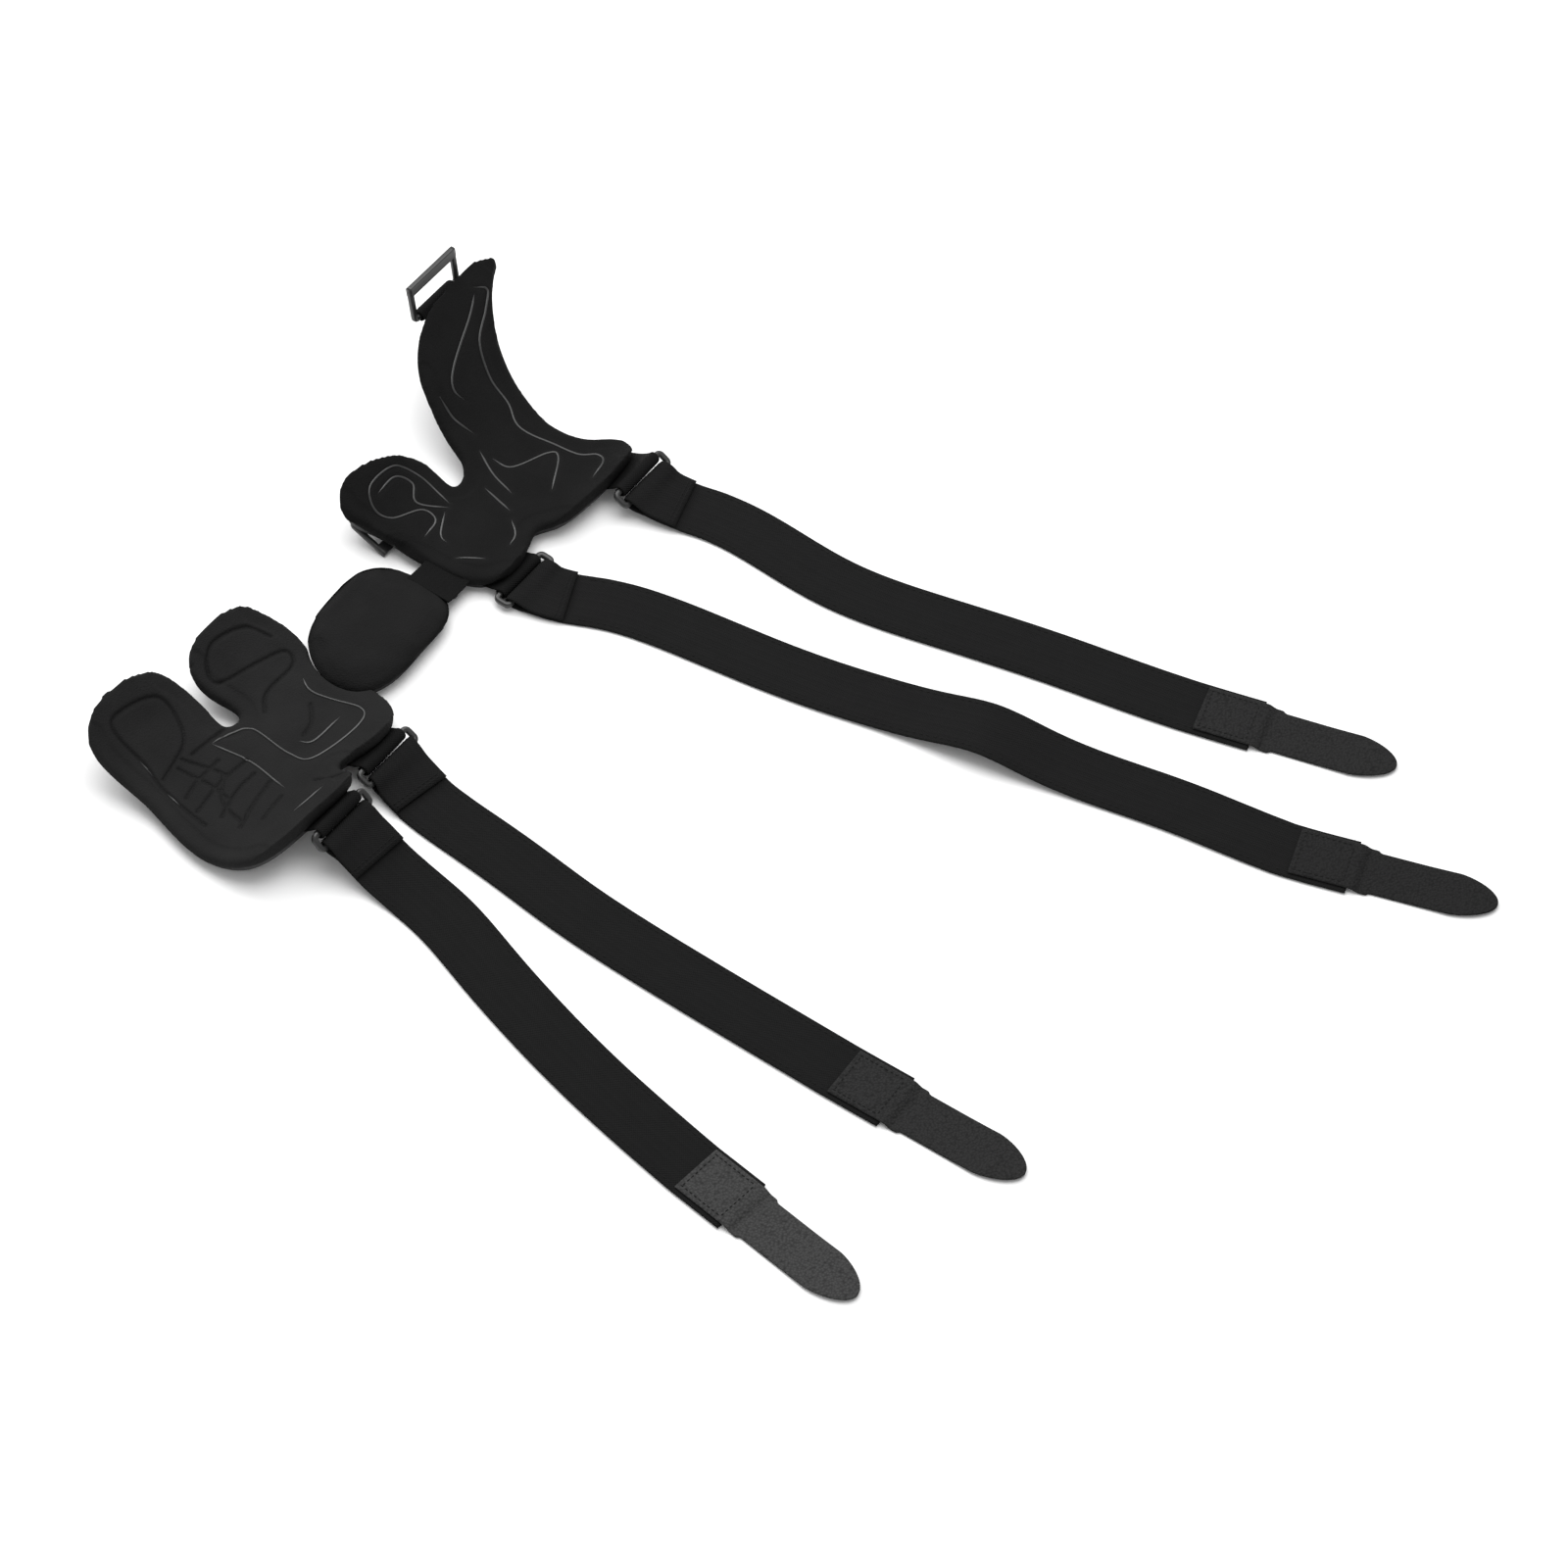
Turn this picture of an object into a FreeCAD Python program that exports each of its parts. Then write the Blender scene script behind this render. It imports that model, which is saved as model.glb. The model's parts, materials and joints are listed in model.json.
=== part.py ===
import FreeCAD, Part
import math
import os
import Sketcher

# A strapped guard for the forearm, elbow and upper arm, lying on its outer face.
# +Y runs along the limb towards the upper arm, +X towards the straps and +Z
# towards the skin.  The origin is under the middle of the whole guard, at the
# level that its shells rest on.  Lengths are in millimetres, angles in degrees.

SIZES = {
    # cross-section of the cuffs: a flat spine between two rising sides
    "spine_left_x": -210.0,
    "spine_right_x": -190.0,
    "left_radius": 75.0,
    "left_slope": 40.0,
    "left_straight": 52.0,
    "upper_right_radius": 40.0,
    "forearm_right_radius": 62.0,
    "right_slope": 45.0,
    "right_straight": 12.0,
    # layers, as heights above the outer face of the shell
    "sling_low": -1.4,
    "shell_low": 0.0,
    "shell_high": 2.0,
    "pad_low": 3.2,
    "pad_high": 9.2,
    "elbow_pad_high": 11.4,
    # reach of the solids that are cut to a layer
    "layer_start_y": -200.0,
    "layer_length": 400.0,
    "prism_start_z": -10.0,
    "prism_height": 90.0,
    "overrun": 1.0,
    # rims and gaps
    "shell_inset": 3.0,
    "piece_gap": 0.3,
    # hinge between the two cuffs
    "hinge_x": -200.0,
    "hinge_y": 16.5,
    "hinge_z": 3.0,
    "pin_radius": 1.2,
    "pin_clearance": 0.06,
    "pin_head_radius": 2.1,
    "pin_head_length": 0.8,
    "knuckle_radius": 2.6,
    "knuckle_length": 5.8,
    "knuckle_gap": 0.3,
    "leaf_length": 17.0,
    "leaf_thickness": 1.0,
    "leaf_setback": 3.1,
    "fold_gap": 0.5,
    "fold_depth": 14.0,
    "fold_width": 140.0,
    "fold_drop": 5.0,
    # rivets and hook dots
    "rivet_radius": 1.0,
    "rivet_head_radius": 2.2,
    "rivet_head_height": 0.7,
    "rivet_sink": 0.1,
    "leaf_rivet_reach": 14.0,
    "leaf_rivet_spread": 4.5,
    "cup_rivet_y": -70.0,
    "cup_rivet_spread": 5.0,
    "sling_rivet_edge": 6.0,
    "ring_sling_rivet_reach": 14.5,
    "loop_sling_rivet_reach": 13.0,
    "under_sling_rivet_reach": 9.0,
    "hook_dot_radius": 8.0,
    # tongue that ties the elbow cup to the forearm shell
    "cup_tongue_start_y": -79.0,
    "cup_tongue_length": 35.0,
    "cup_tongue_inset": 1.0,
    # wire-thick bars of the rings and loops
    "bar_radius": 1.5,
    "bar_clearance": 0.06,
    "ring_length": 37.0,
    "ring_reach": 7.0,
    "loop_length": 35.0,
    "loop_reach": 20.0,
    "loop_plate_width": 6.0,
    "sling_thickness": 1.4,
    "ring_sling_width": 28.0,
    "loop_sling_width": 26.0,
    "sling_tail": 17.5,
    "under_sling_tail": 12.4,
    # elastic bands and hook tabs
    "band_width": 30.0,
    "band_thickness": 1.8,
    "band_fold_thickness": 1.6,
    "patch_length": 27.0,
    "patch_width": 26.0,
    "shoulder_length": 10.5,
    "tongue_width": 23.5,
    "tab_length": 93.5,
    "tab_thickness": 1.2,
    "tab_floor_gap": 0.2,
    "tab_shoulder_taper": 2.0,
    "tab_bend_margin": 1.5,
    "tab_nose_length": 20.0,
    "tab_nose_bend": 7.5,
    "tab_nose_flank": 7.9,
    "thread_width": 0.8,
    "thread_height": 0.3,
    "stitch_margin": 2.0,
}

# Outlines seen from the skin side, as x and y of points on smooth closed curves.
UPPER_ARM_OUTLINE = [
    (-280, 165.5), (-272, 151), (-260, 139), (-245, 131), (-227, 125.5), (-208, 123.5),
    (-195, 128), (-182, 135.5), (-175, 132.5), (-170, 121), (-169, 104), (-170.5, 88),
    (-175, 75), (-181, 67), (-179, 59), (-175, 48), (-175.5, 36), (-182, 27),
    (-194, 21.8), (-210, 20.5), (-226, 19.5), (-241, 16.5), (-254, 13), (-260, 20),
    (-260.5, 34), (-256, 50), (-246, 62), (-235, 63.5), (-228.5, 64), (-229.5, 73),
    (-243, 80), (-258, 85.5), (-271, 93), (-280, 106), (-284.5, 124), (-285.5, 143),
    (-284, 159),
]
FOREARM_OUTLINE = [
    (-251, -57), (-242, -52), (-231, -50.5), (-218, -53.5), (-200, -54), (-183, -53.5),
    (-169, -58), (-160, -68), (-158.5, -80), (-163, -93), (-164.5, -101), (-156, -103.5),
    (-149.5, -110), (-149, -124), (-151, -140), (-153.5, -154), (-160, -165.5), (-172, -171.5),
    (-190, -173), (-208, -169.5), (-226, -165.5), (-243, -165.5), (-257, -163.5), (-263.5, -154),
    (-265, -140), (-262.5, -124), (-256, -113.5), (-245, -109.5), (-232, -110), (-222.5, -109.5),
    (-221.5, -103), (-232, -102), (-246, -103.5), (-254, -98), (-257.5, -86), (-257, -70),
]
ELBOW_OUTLINE = [
    (-229, 1), (-219, 10), (-204, 12.5), (-190, 9.5), (-182.5, 1), (-180, -16),
    (-179, -34), (-181.5, -48), (-189, -58), (-201, -61), (-215, -57.5), (-226, -48),
    (-231, -34), (-232, -16),
]

# Straps: place of the ring's hinge bar along x, middle of the ring along y,
# place of the ring's outer bar (x, z), and the band's middle line (x, y, z).
STRAPS = {
    1: {"cuff": "upper", "hinge_x": -162.0, "y": 120.0, "outer": (-156.0, 8.2),
        "route": [(-156.0, 120.0, 8.2), (-144.0, 121.6, 5.0), (-128.0, 126.2, 1.9),
                  (-108.0, 129.0, 1.1), (-80.0, 128.3, 1.1), (-50.0, 128.0, 1.1),
                  (-22.0, 132.0, 1.1), (6.0, 138.6, 1.1), (60.0, 151.0, 1.1),
                  (100.0, 158.6, 1.1), (128.0, 164.8, 1.1), (154.5, 172.0, 1.1)],
        "tab": (128.0, 164.8, 15.0)},
    2: {"cuff": "upper", "hinge_x": -173.0, "y": 42.0, "outer": (-166.0, 3.7),
        "route": [(-166.0, 42.0, 3.7), (-152.0, 45.0, 2.4), (-132.0, 54.0, 1.1),
                  (-104.0, 61.6, 1.1), (-75.0, 66.0, 1.1), (-47.0, 70.0, 1.1),
                  (-19.0, 75.2, 1.3), (8.0, 81.6, 1.9), (34.0, 87.4, 5.0),
                  (58.0, 92.4, 9.0), (84.0, 97.6, 4.6), (110.0, 103.0, 1.7),
                  (150.0, 111.6, 1.3), (207.0, 120.8, 1.1), (234.0, 128.6, 1.1)],
        "tab": (207.0, 120.8, 17.5)},
    3: {"cuff": "forearm", "hinge_x": -155.5, "y": -81.0, "outer": (-149.4, 7.3),
        "route": [(-149.4, -81.2, 7.3), (-138.0, -83.6, 4.0), (-124.0, -86.2, 1.7),
                  (-97.0, -88.6, 1.1), (-68.0, -91.0, 1.1), (-39.0, -94.0, 1.1),
                  (10.0, -96.0, 1.1), (70.0, -96.2, 1.1), (112.0, -96.0, 1.1),
                  (141.0, -96.0, 1.1)],
        "tab": (113.0, -96.0, 1.5)},
    4: {"cuff": "forearm", "hinge_x": -144.2, "y": -126.0, "outer": (-139.4, 15.4),
        "route": [(-139.4, -126.0, 15.4), (-128.0, -126.4, 10.8), (-112.0, -127.8, 4.0),
                  (-98.0, -129.2, 1.4), (-78.0, -132.8, 1.1), (-49.0, -142.0, 1.1),
                  (-20.0, -151.0, 1.1), (8.0, -158.5, 1.1), (36.0, -164.8, 1.1),
                  (64.0, -170.0, 1.1), (92.0, -174.6, 1.1), (116.5, -178.0, 1.1)],
        "tab": (91.0, -174.4, -7.0)},
}

# Loops: the free end of the strap with the same number is pulled through each.
# The first stands up beside the long arm, the others lie folded under the lobes.
LOOPS = {
    1: {"cuff": "upper", "hinge_x": -289.0, "y": 129.5, "turn": 265.0, "under": False},
    2: {"cuff": "upper", "hinge_x": -252.8, "y": 33.5, "turn": 24.0, "under": True},
    3: {"cuff": "forearm", "hinge_x": -252.8, "y": -76.0, "turn": 24.0, "under": True},
    4: {"cuff": "forearm", "hinge_x": -252.8, "y": -136.0, "turn": 24.0, "under": True},
}

UPPER_ARM_DOTS = [(-206, 62), (-210, 104), (-252, 106), (-230, 40)]
FOREARM_DOTS = [(-198, -104), (-226, -78), (-226, -138), (-196, -148)]
ELBOW_DOTS = [(-217, -24), (-190, -24)]

doc = FreeCAD.newDocument("arm_guard")
nodes = []


def make_sheet():
    """Put every driving size into one spreadsheet, each under its own name."""
    sheet = doc.addObject("Spreadsheet::Sheet", "dims")
    for row, (alias, value) in enumerate(SIZES.items(), start=1):
        sheet.set("A%d" % row, alias)
        sheet.set("B%d" % row, str(value))
        sheet.setAlias("B%d" % row, alias)
    doc.recompute()
    return sheet


sheet = make_sheet()


def size(alias):
    return float(sheet.get(alias))


def bind(item, **expressions):
    """Tie properties of an object to the sheet."""
    for prop, expression in expressions.items():
        item.setExpression(prop, expression)
    return item


def place(item, x=0.0, y=0.0, z=0.0, axis=(0, 0, 1), angle=0.0):
    turn = FreeCAD.Rotation(FreeCAD.Vector(*axis), angle)
    item.Placement = FreeCAD.Placement(FreeCAD.Vector(x, y, z), turn)
    return item


def box(name, x, y, z, length, width, height):
    item = place(doc.addObject("Part::Box", name), x, y, z)
    return bind(item, Length=length, Width=width, Height=height)


def cylinder_along_y(name, radius, length, x, y, z):
    """A cylinder along y, as long as the named cell says, with its middle at x, y, z."""
    item = doc.addObject("Part::Cylinder", name)
    place(item, x, y + size(length) / 2, z, (1, 0, 0), 90)
    return bind(item, Radius=radius, Height="dims." + length)


def cylinder_along_x(name, radius, length, x, y, z):
    """A cylinder that starts at x and runs towards +x."""
    item = doc.addObject("Part::Cylinder", name)
    place(item, x, y, z, (0, 1, 0), 90)
    return bind(item, Radius=radius, Height=length)


def common(name, base, tool):
    item = doc.addObject("Part::Common", name)
    item.Base = base
    item.Tool = tool
    return item


def cut(name, base, tool):
    item = doc.addObject("Part::Cut", name)
    item.Base = base
    item.Tool = tool
    return item


def fuse(name, shapes):
    item = doc.addObject("Part::MultiFuse", name)
    item.Shapes = shapes
    return item


def group(name, shapes):
    item = doc.addObject("Part::Compound", name)
    item.Links = shapes
    return item


def node(item, label):
    """Name a finished sub-part: the label is the name of its file."""
    item.Label = label
    nodes.append(item)
    return item


def extrude(name, sketch, direction, length):
    item = doc.addObject("Part::Extrusion", name)
    item.Base = sketch
    item.DirMode = "Custom"
    item.Dir = FreeCAD.Vector(*direction)
    item.Solid = True
    return bind(item, LengthFwd=length)


# ---------------------------------------------------------------- outlines

def smooth_curve(points, closed=False):
    curve = Part.BSplineCurve()
    vectors = [FreeCAD.Vector(x, y, 0) for x, y in points]
    curve.interpolate(Points=vectors, PeriodicFlag=closed)
    return curve


def add_lines(sketch, corners, closed=True):
    """Straight edges from corner to corner."""
    after = corners[1:] + (corners[:1] if closed else [])
    for one, other in zip(corners, after):
        sketch.addGeometry(Part.LineSegment(FreeCAD.Vector(one[0], one[1], 0),
                                            FreeCAD.Vector(other[0], other[1], 0)), False)


def side_normal(before, after):
    """The unit vector to the left of the direction from one point to another."""
    dx = after[0] - before[0]
    dy = after[1] - before[1]
    length = math.hypot(dx, dy)
    return -dy / length, dx / length


def grown(outline, distance):
    """A clockwise outline moved outwards by a distance, or inwards if negative."""
    result = []
    for index, (x, y) in enumerate(outline):
        before = outline[index - 1]
        after = outline[(index + 1) % len(outline)]
        nx, ny = side_normal(before, after)
        result.append((x + nx * distance, y + ny * distance))
    return result


def prism(name, outline):
    """An outline in plan, extruded upwards through every layer."""
    sketch = doc.addObject("Sketcher::SketchObject", name + "_outline")
    sketch.addGeometry(smooth_curve(outline, closed=True), False)
    place(sketch, z=size("prism_start_z"))
    return extrude(name + "_prism", sketch, (0, 0, 1), "dims.prism_height")


# ------------------------------------------------- cross-section of the cuffs

def right_radius(cuff):
    return size(cuff + "_right_radius")


def section_point(cuff, x, height):
    """The z and the slope in degrees of a cuff's layer, a height above the outer
    face and measured along the slope's normal, where the layer passes x."""
    left = x < size("spine_left_x")
    if size("spine_left_x") <= x <= size("spine_right_x"):
        return height, 0.0
    radius = size("left_radius") if left else right_radius(cuff)
    limit = math.radians(size("left_slope") if left else size("right_slope"))
    run = size("spine_left_x") - x if left else x - size("spine_right_x")
    inner = radius - height
    sign = -1.0 if left else 1.0
    if run <= inner * math.sin(limit):
        angle = math.asin(run / inner)
        return radius - inner * math.cos(angle), sign * math.degrees(angle)
    rise = (run - inner * math.sin(limit)) * math.tan(limit)
    return radius - inner * math.cos(limit) + rise, sign * math.degrees(limit)


def layer_sketch(name, cuff, low, high):
    """The closed cross-section of a cuff between two layer heights, in XZ."""
    sketch = doc.addObject("Sketcher::SketchObject", name + "_section")
    place(sketch, axis=(1, 0, 0), angle=90)
    flat_left = size("spine_left_x")
    flat_right = size("spine_right_x")
    edges = []
    for height in (low, high):
        sides = []
        for left in (True, False):
            alias = "left_radius" if left else cuff + "_right_radius"
            centre_x = flat_left if left else flat_right
            slope = math.radians(size("left_slope") if left else size("right_slope"))
            straight = size("left_straight") if left else size("right_straight")
            radius = size(alias) - size(height)
            sign = -1.0 if left else 1.0
            down = -math.pi / 2
            start = down - slope if left else down
            end = down if left else down + slope
            centre = FreeCAD.Vector(centre_x, size(alias), 0)
            circle = Part.Circle(centre, FreeCAD.Vector(0, 0, 1), radius)
            arc = Part.ArcOfCircle(circle, start, end)
            reach = centre + FreeCAD.Vector(sign * math.sin(slope), -math.cos(slope), 0) * radius
            tip = reach + FreeCAD.Vector(sign * math.cos(slope), math.sin(slope), 0) * straight
            sides.append((arc, reach, tip, alias))
        edges.append(sides)
    for (left_side, right_side), height in zip(edges, (low, high)):
        flat = Part.LineSegment(FreeCAD.Vector(flat_left, size(height), 0),
                                FreeCAD.Vector(flat_right, size(height), 0))
        sketch.addGeometry(flat, False)
        for arc, reach, tip, alias in (left_side, right_side):
            index = sketch.addGeometry(arc, False)
            sketch.addGeometry(Part.LineSegment(reach, tip), False)
            constraint = sketch.addConstraint(
                Sketcher.Constraint("Radius", index, size(alias) - size(height)))
            sketch.setExpression("Constraints[%d]" % constraint,
                                 "dims.%s - dims.%s" % (alias, height))
    for side in (0, 1):
        cap = Part.LineSegment(edges[0][side][2], edges[1][side][2])
        sketch.addGeometry(cap, False)
    return sketch


layers = {}


def layer(cuff, low, high):
    """A slab that follows a cuff's cross-section all along the limb."""
    key = (cuff, low, high)
    if key not in layers:
        name = "%s_%s_to_%s" % key
        sketch = layer_sketch(name, cuff, low, high)
        sketch.Placement.Base.y = size("layer_start_y")
        layers[key] = extrude(name, sketch, (0, 1, 0), "dims.layer_length")
    return layers[key]


# ------------------------------------------------------------------- rivets

def rivet(name, cuff, x, y, low, high, head_low):
    """A shank between two layer heights, square to the shell, with a flat head."""
    z, slope = section_point(cuff, x, low)
    _, outer_slope = section_point(cuff, x, 0.0)
    turn = -outer_slope
    shank = doc.addObject("Part::Cylinder", name + "_shank")
    place(shank, x, y, z, (0, 1, 0), turn)
    bind(shank, Radius="dims.rivet_radius")
    shank.Height = high - low
    lift = head_low - low
    head = doc.addObject("Part::Cylinder", name + "_head")
    angle = math.radians(turn)
    place(head, x + lift * math.sin(angle), y, z + lift * math.cos(angle), (0, 1, 0), turn)
    bind(head, Radius="dims.rivet_head_radius", Height="dims.rivet_head_height")
    return fuse(name, [shank, head])


def rivets(name, cuff, places, low, high, head_low):
    made = [rivet("%s_%d" % (name, number), cuff, x, y, low, high, head_low)
            for number, (x, y) in enumerate(places, start=1)]
    return group(name, made)


def sling_rivet_places(spec, tail_sign, width_alias, reach):
    """Two places in the part of a sling's tail that lies on the shell."""
    x = spec["hinge_x"] + tail_sign * size(reach)
    spread = size(width_alias) / 2 - size("sling_rivet_edge")
    return [(x, spec["y"] - spread), (x, spec["y"] + spread)]


def all_sling_rivets(cuff):
    """Rivets that hold the slings of one cuff, flush on the face they come from."""
    inner = []
    outer = []
    for spec in STRAPS.values():
        if spec["cuff"] == cuff:
            inner += sling_rivet_places(spec, -1, "ring_sling_width",
                                        "ring_sling_rivet_reach")
    for spec in LOOPS.values():
        if spec["cuff"] != cuff:
            continue
        if spec["under"]:
            outer += sling_rivet_places(spec, 1, "loop_sling_width",
                                        "under_sling_rivet_reach")
        else:
            inner += sling_rivet_places(spec, 1, "loop_sling_width",
                                        "loop_sling_rivet_reach")
    name = cuff + "_sling_rivets"
    made = rivets(name + "_inner", cuff, inner, size("rivet_sink"), size("pad_low"),
                  size("rivet_sink"))
    low = size("sling_low")
    high = size("shell_high") + size("rivet_head_height")
    more = rivets(name + "_outer", cuff, outer, low, high, size("shell_high"))
    return group(name, [made, more])


# ------------------------------------------------------------------- hinge

def fold_trough():
    """The wedge of space, above the hinge pin, that the pads leave for folding."""
    sketch = doc.addObject("Sketcher::SketchObject", "fold_trough_section")
    gap = size("fold_gap")
    depth = size("fold_depth")
    drop = size("fold_drop")
    y = size("hinge_y")
    z = size("hinge_z")
    corners = [(y - gap, z - drop), (y + gap, z - drop), (y + gap, z),
               (y + gap + depth, z + depth), (y - gap - depth, z + depth), (y - gap, z)]
    add_lines(sketch, corners)
    turn = FreeCAD.Rotation(FreeCAD.Vector(1, 1, 1), 120)
    sketch.Placement = FreeCAD.Placement(
        FreeCAD.Vector(size("hinge_x") - size("fold_width") / 2, 0, 0), turn)
    return extrude("fold_trough", sketch, (1, 0, 0), "dims.fold_width")


def knuckles(name, slots, radius):
    """Cylinders on the hinge axis, centred on knuckle slots -1, 0 and 1."""
    pitch = size("knuckle_length") + size("knuckle_gap")
    made = []
    for slot in slots:
        x = size("hinge_x") + slot * pitch - size("knuckle_length") / 2
        item = cylinder_along_x("%s_%d" % (name, slot + 2), radius, "dims.knuckle_length",
                                x, size("hinge_y"), size("hinge_z"))
        made.append(item)
    return made


def leaf_rivets(label, cuff, side):
    """The two rivets that hold one leaf to its shell."""
    y = size("hinge_y") + side * size("leaf_rivet_reach")
    spread = size("leaf_rivet_spread")
    places = [(size("hinge_x") - spread, y), (size("hinge_x") + spread, y)]
    return rivets(label, cuff, places, 0.0, size("shell_high") + size("leaf_thickness"), 0.0)


def hinge_leaf(label, side, slots, bore):
    """One leaf: a plate on its shell, its knuckles and a web to each of them."""
    y = size("hinge_y")
    z = size("shell_high")
    pitch = size("knuckle_length") + size("knuckle_gap")
    width = 2 * pitch + size("knuckle_length")
    plate_y = y + size("leaf_setback") if side > 0 else y - size("leaf_setback") - size("leaf_length")
    plate = box(label + "_plate", size("hinge_x") - width / 2, plate_y, z,
                "3 * dims.knuckle_length + 2 * dims.knuckle_gap", "dims.leaf_length",
                "dims.leaf_thickness")
    parts = [plate] + knuckles(label + "_knuckle", slots, "dims.knuckle_radius")
    for slot in slots:
        x = size("hinge_x") + slot * pitch - size("knuckle_length") / 2
        web_y = y if side > 0 else y - size("leaf_setback")
        parts.append(box("%s_web_%d" % (label, slot + 2), x, web_y, z, "dims.knuckle_length",
                         "dims.leaf_setback", "dims.leaf_thickness"))
    body = fuse(label + "_body", parts)
    start = size("hinge_x") - width / 2 - size("overrun")
    hole = cylinder_along_x(label + "_bore", bore,
                            "3 * dims.knuckle_length + 2 * dims.knuckle_gap + 2 * dims.overrun",
                            start, y, size("hinge_z"))
    return cut(label + "_drilled", body, hole)


def hinge_pin():
    """The pin, held in the outer knuckles, with a flat head at each end."""
    pitch = size("knuckle_length") + size("knuckle_gap")
    width = 2 * pitch + size("knuckle_length")
    x = size("hinge_x") - width / 2
    shaft = cylinder_along_x("pin_shaft", "dims.pin_radius",
                             "3 * dims.knuckle_length + 2 * dims.knuckle_gap",
                             x, size("hinge_y"), size("hinge_z"))
    heads = [cylinder_along_x("pin_head_%d" % number, "dims.pin_head_radius",
                              "dims.pin_head_length", place_x, size("hinge_y"), size("hinge_z"))
             for number, place_x in ((1, x - size("pin_head_length")), (2, x + width))]
    return fuse("pin", [shaft] + heads)


# ------------------------------------------------------- shells and pads

def hook_dots(label, cuff, places):
    """Round fasteners that hold a pad in its shell, in the gap between them."""
    discs = []
    for number, (x, y) in enumerate(places, start=1):
        disc = doc.addObject("Part::Cylinder", "%s_disc_%d" % (label, number))
        place(disc, x, y, 0.0)
        bind(disc, Radius="dims.hook_dot_radius", Height="dims.prism_height")
        discs.append(disc)
    cut_to = layer(cuff, "shell_high", "pad_low")
    node(common(label, group(label + "_discs", discs), cut_to), label)


def upper_arm(trough, sling_rivets):
    fixings = leaf_rivets("upper_leaf_rivets", "upper", 1)
    rim = prism("upper_shell", grown(UPPER_ARM_OUTLINE, -size("shell_inset")))
    blank = common("upper_shell_blank", rim, layer("upper", "shell_low", "shell_high"))
    drilled = cut("upper_shell_drilled", blank, fixings)
    node(cut("upper_shell", drilled, sling_rivets), "upper_arm_shell")
    pad_blank = common("upper_pad_blank", prism("upper_pad", UPPER_ARM_OUTLINE),
                       layer("upper", "pad_low", "pad_high"))
    node(cut("upper_pad", pad_blank, trough), "upper_arm_pad")
    hook_dots("upper_pad_hook_dots", "upper", UPPER_ARM_DOTS)
    leaf = hinge_leaf("upper_leaf", 1, [0], "dims.pin_radius + dims.pin_clearance")
    node(cut("upper_leaf", leaf, fixings), "hinge_upper_leaf")
    node(fixings, "upper_leaf_rivets")
    node(sling_rivets, "upper_sling_rivets")


def forearm(trough, sling_rivets):
    y = size("cup_rivet_y")
    spread = size("cup_rivet_spread")
    places = [(size("hinge_x") - spread, y), (size("hinge_x") + spread, y)]
    cup_rivets = rivets("elbow_cup_rivets", "forearm", places, 0.0, size("pad_low"), 0.0)
    elbow_gap = prism("elbow_gap", grown(ELBOW_OUTLINE, size("piece_gap")))
    rim = prism("forearm_shell", grown(FOREARM_OUTLINE, -size("shell_inset")))
    blank = common("forearm_shell_blank", rim, layer("forearm", "shell_low", "shell_high"))
    notched = cut("forearm_shell_notched", blank, elbow_gap)
    drilled = cut("forearm_shell_drilled", notched, cup_rivets)
    node(cut("forearm_shell", drilled, sling_rivets), "forearm_shell")
    pad_blank = common("forearm_pad_blank", prism("forearm_pad", FOREARM_OUTLINE),
                       layer("forearm", "pad_low", "pad_high"))
    node(cut("forearm_pad", pad_blank, elbow_gap), "forearm_pad")
    hook_dots("forearm_pad_hook_dots", "forearm", FOREARM_DOTS)
    node(cup_rivets, "elbow_cup_rivets")
    node(sling_rivets, "forearm_sling_rivets")
    elbow(trough, cup_rivets)


def elbow(trough, cup_rivets):
    """The elbow's own cup and pad; the cup's tongue is riveted to the forearm shell."""
    fixings = leaf_rivets("lower_leaf_rivets", "forearm", -1)
    rim = prism("elbow_cup", grown(ELBOW_OUTLINE, -size("shell_inset")))
    dish = common("elbow_cup_dish", rim, layer("forearm", "shell_low", "shell_high"))
    inset = size("cup_tongue_inset")
    tongue = box("elbow_cup_tongue", size("spine_left_x") + inset, size("cup_tongue_start_y"),
                 size("shell_high"),
                 "dims.spine_right_x - dims.spine_left_x - 2 * dims.cup_tongue_inset",
                 "dims.cup_tongue_length", "dims.pad_low - dims.shell_high")
    cup = fuse("elbow_cup_blank", [dish, tongue])
    drilled = cut("elbow_cup_drilled", cup, fixings)
    node(cut("elbow_cup", drilled, cup_rivets), "elbow_cup")
    pad_blank = common("elbow_pad_blank", prism("elbow_pad", ELBOW_OUTLINE),
                       layer("forearm", "pad_low", "elbow_pad_high"))
    node(cut("elbow_pad", pad_blank, trough), "elbow_pad")
    hook_dots("elbow_pad_hook_dots", "forearm", ELBOW_DOTS)
    leaf = hinge_leaf("lower_leaf", -1, [-1, 1], "dims.pin_radius")
    node(cut("lower_leaf", leaf, fixings), "hinge_lower_leaf")
    node(fixings, "lower_leaf_rivets")
    node(hinge_pin(), "hinge_pin")


# ------------------------------------------- slings, rings, loops and straps

def hinge_bar_centre(spec):
    """The x and z of the bar that a sling wraps round."""
    wrap = size("bar_radius") + size("bar_clearance") + size("sling_thickness")
    height = size("pad_low") - wrap
    if spec.get("under"):
        height = size("shell_low") - wrap
    return spec["hinge_x"], section_point(spec["cuff"], spec["hinge_x"], height)[0]


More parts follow.
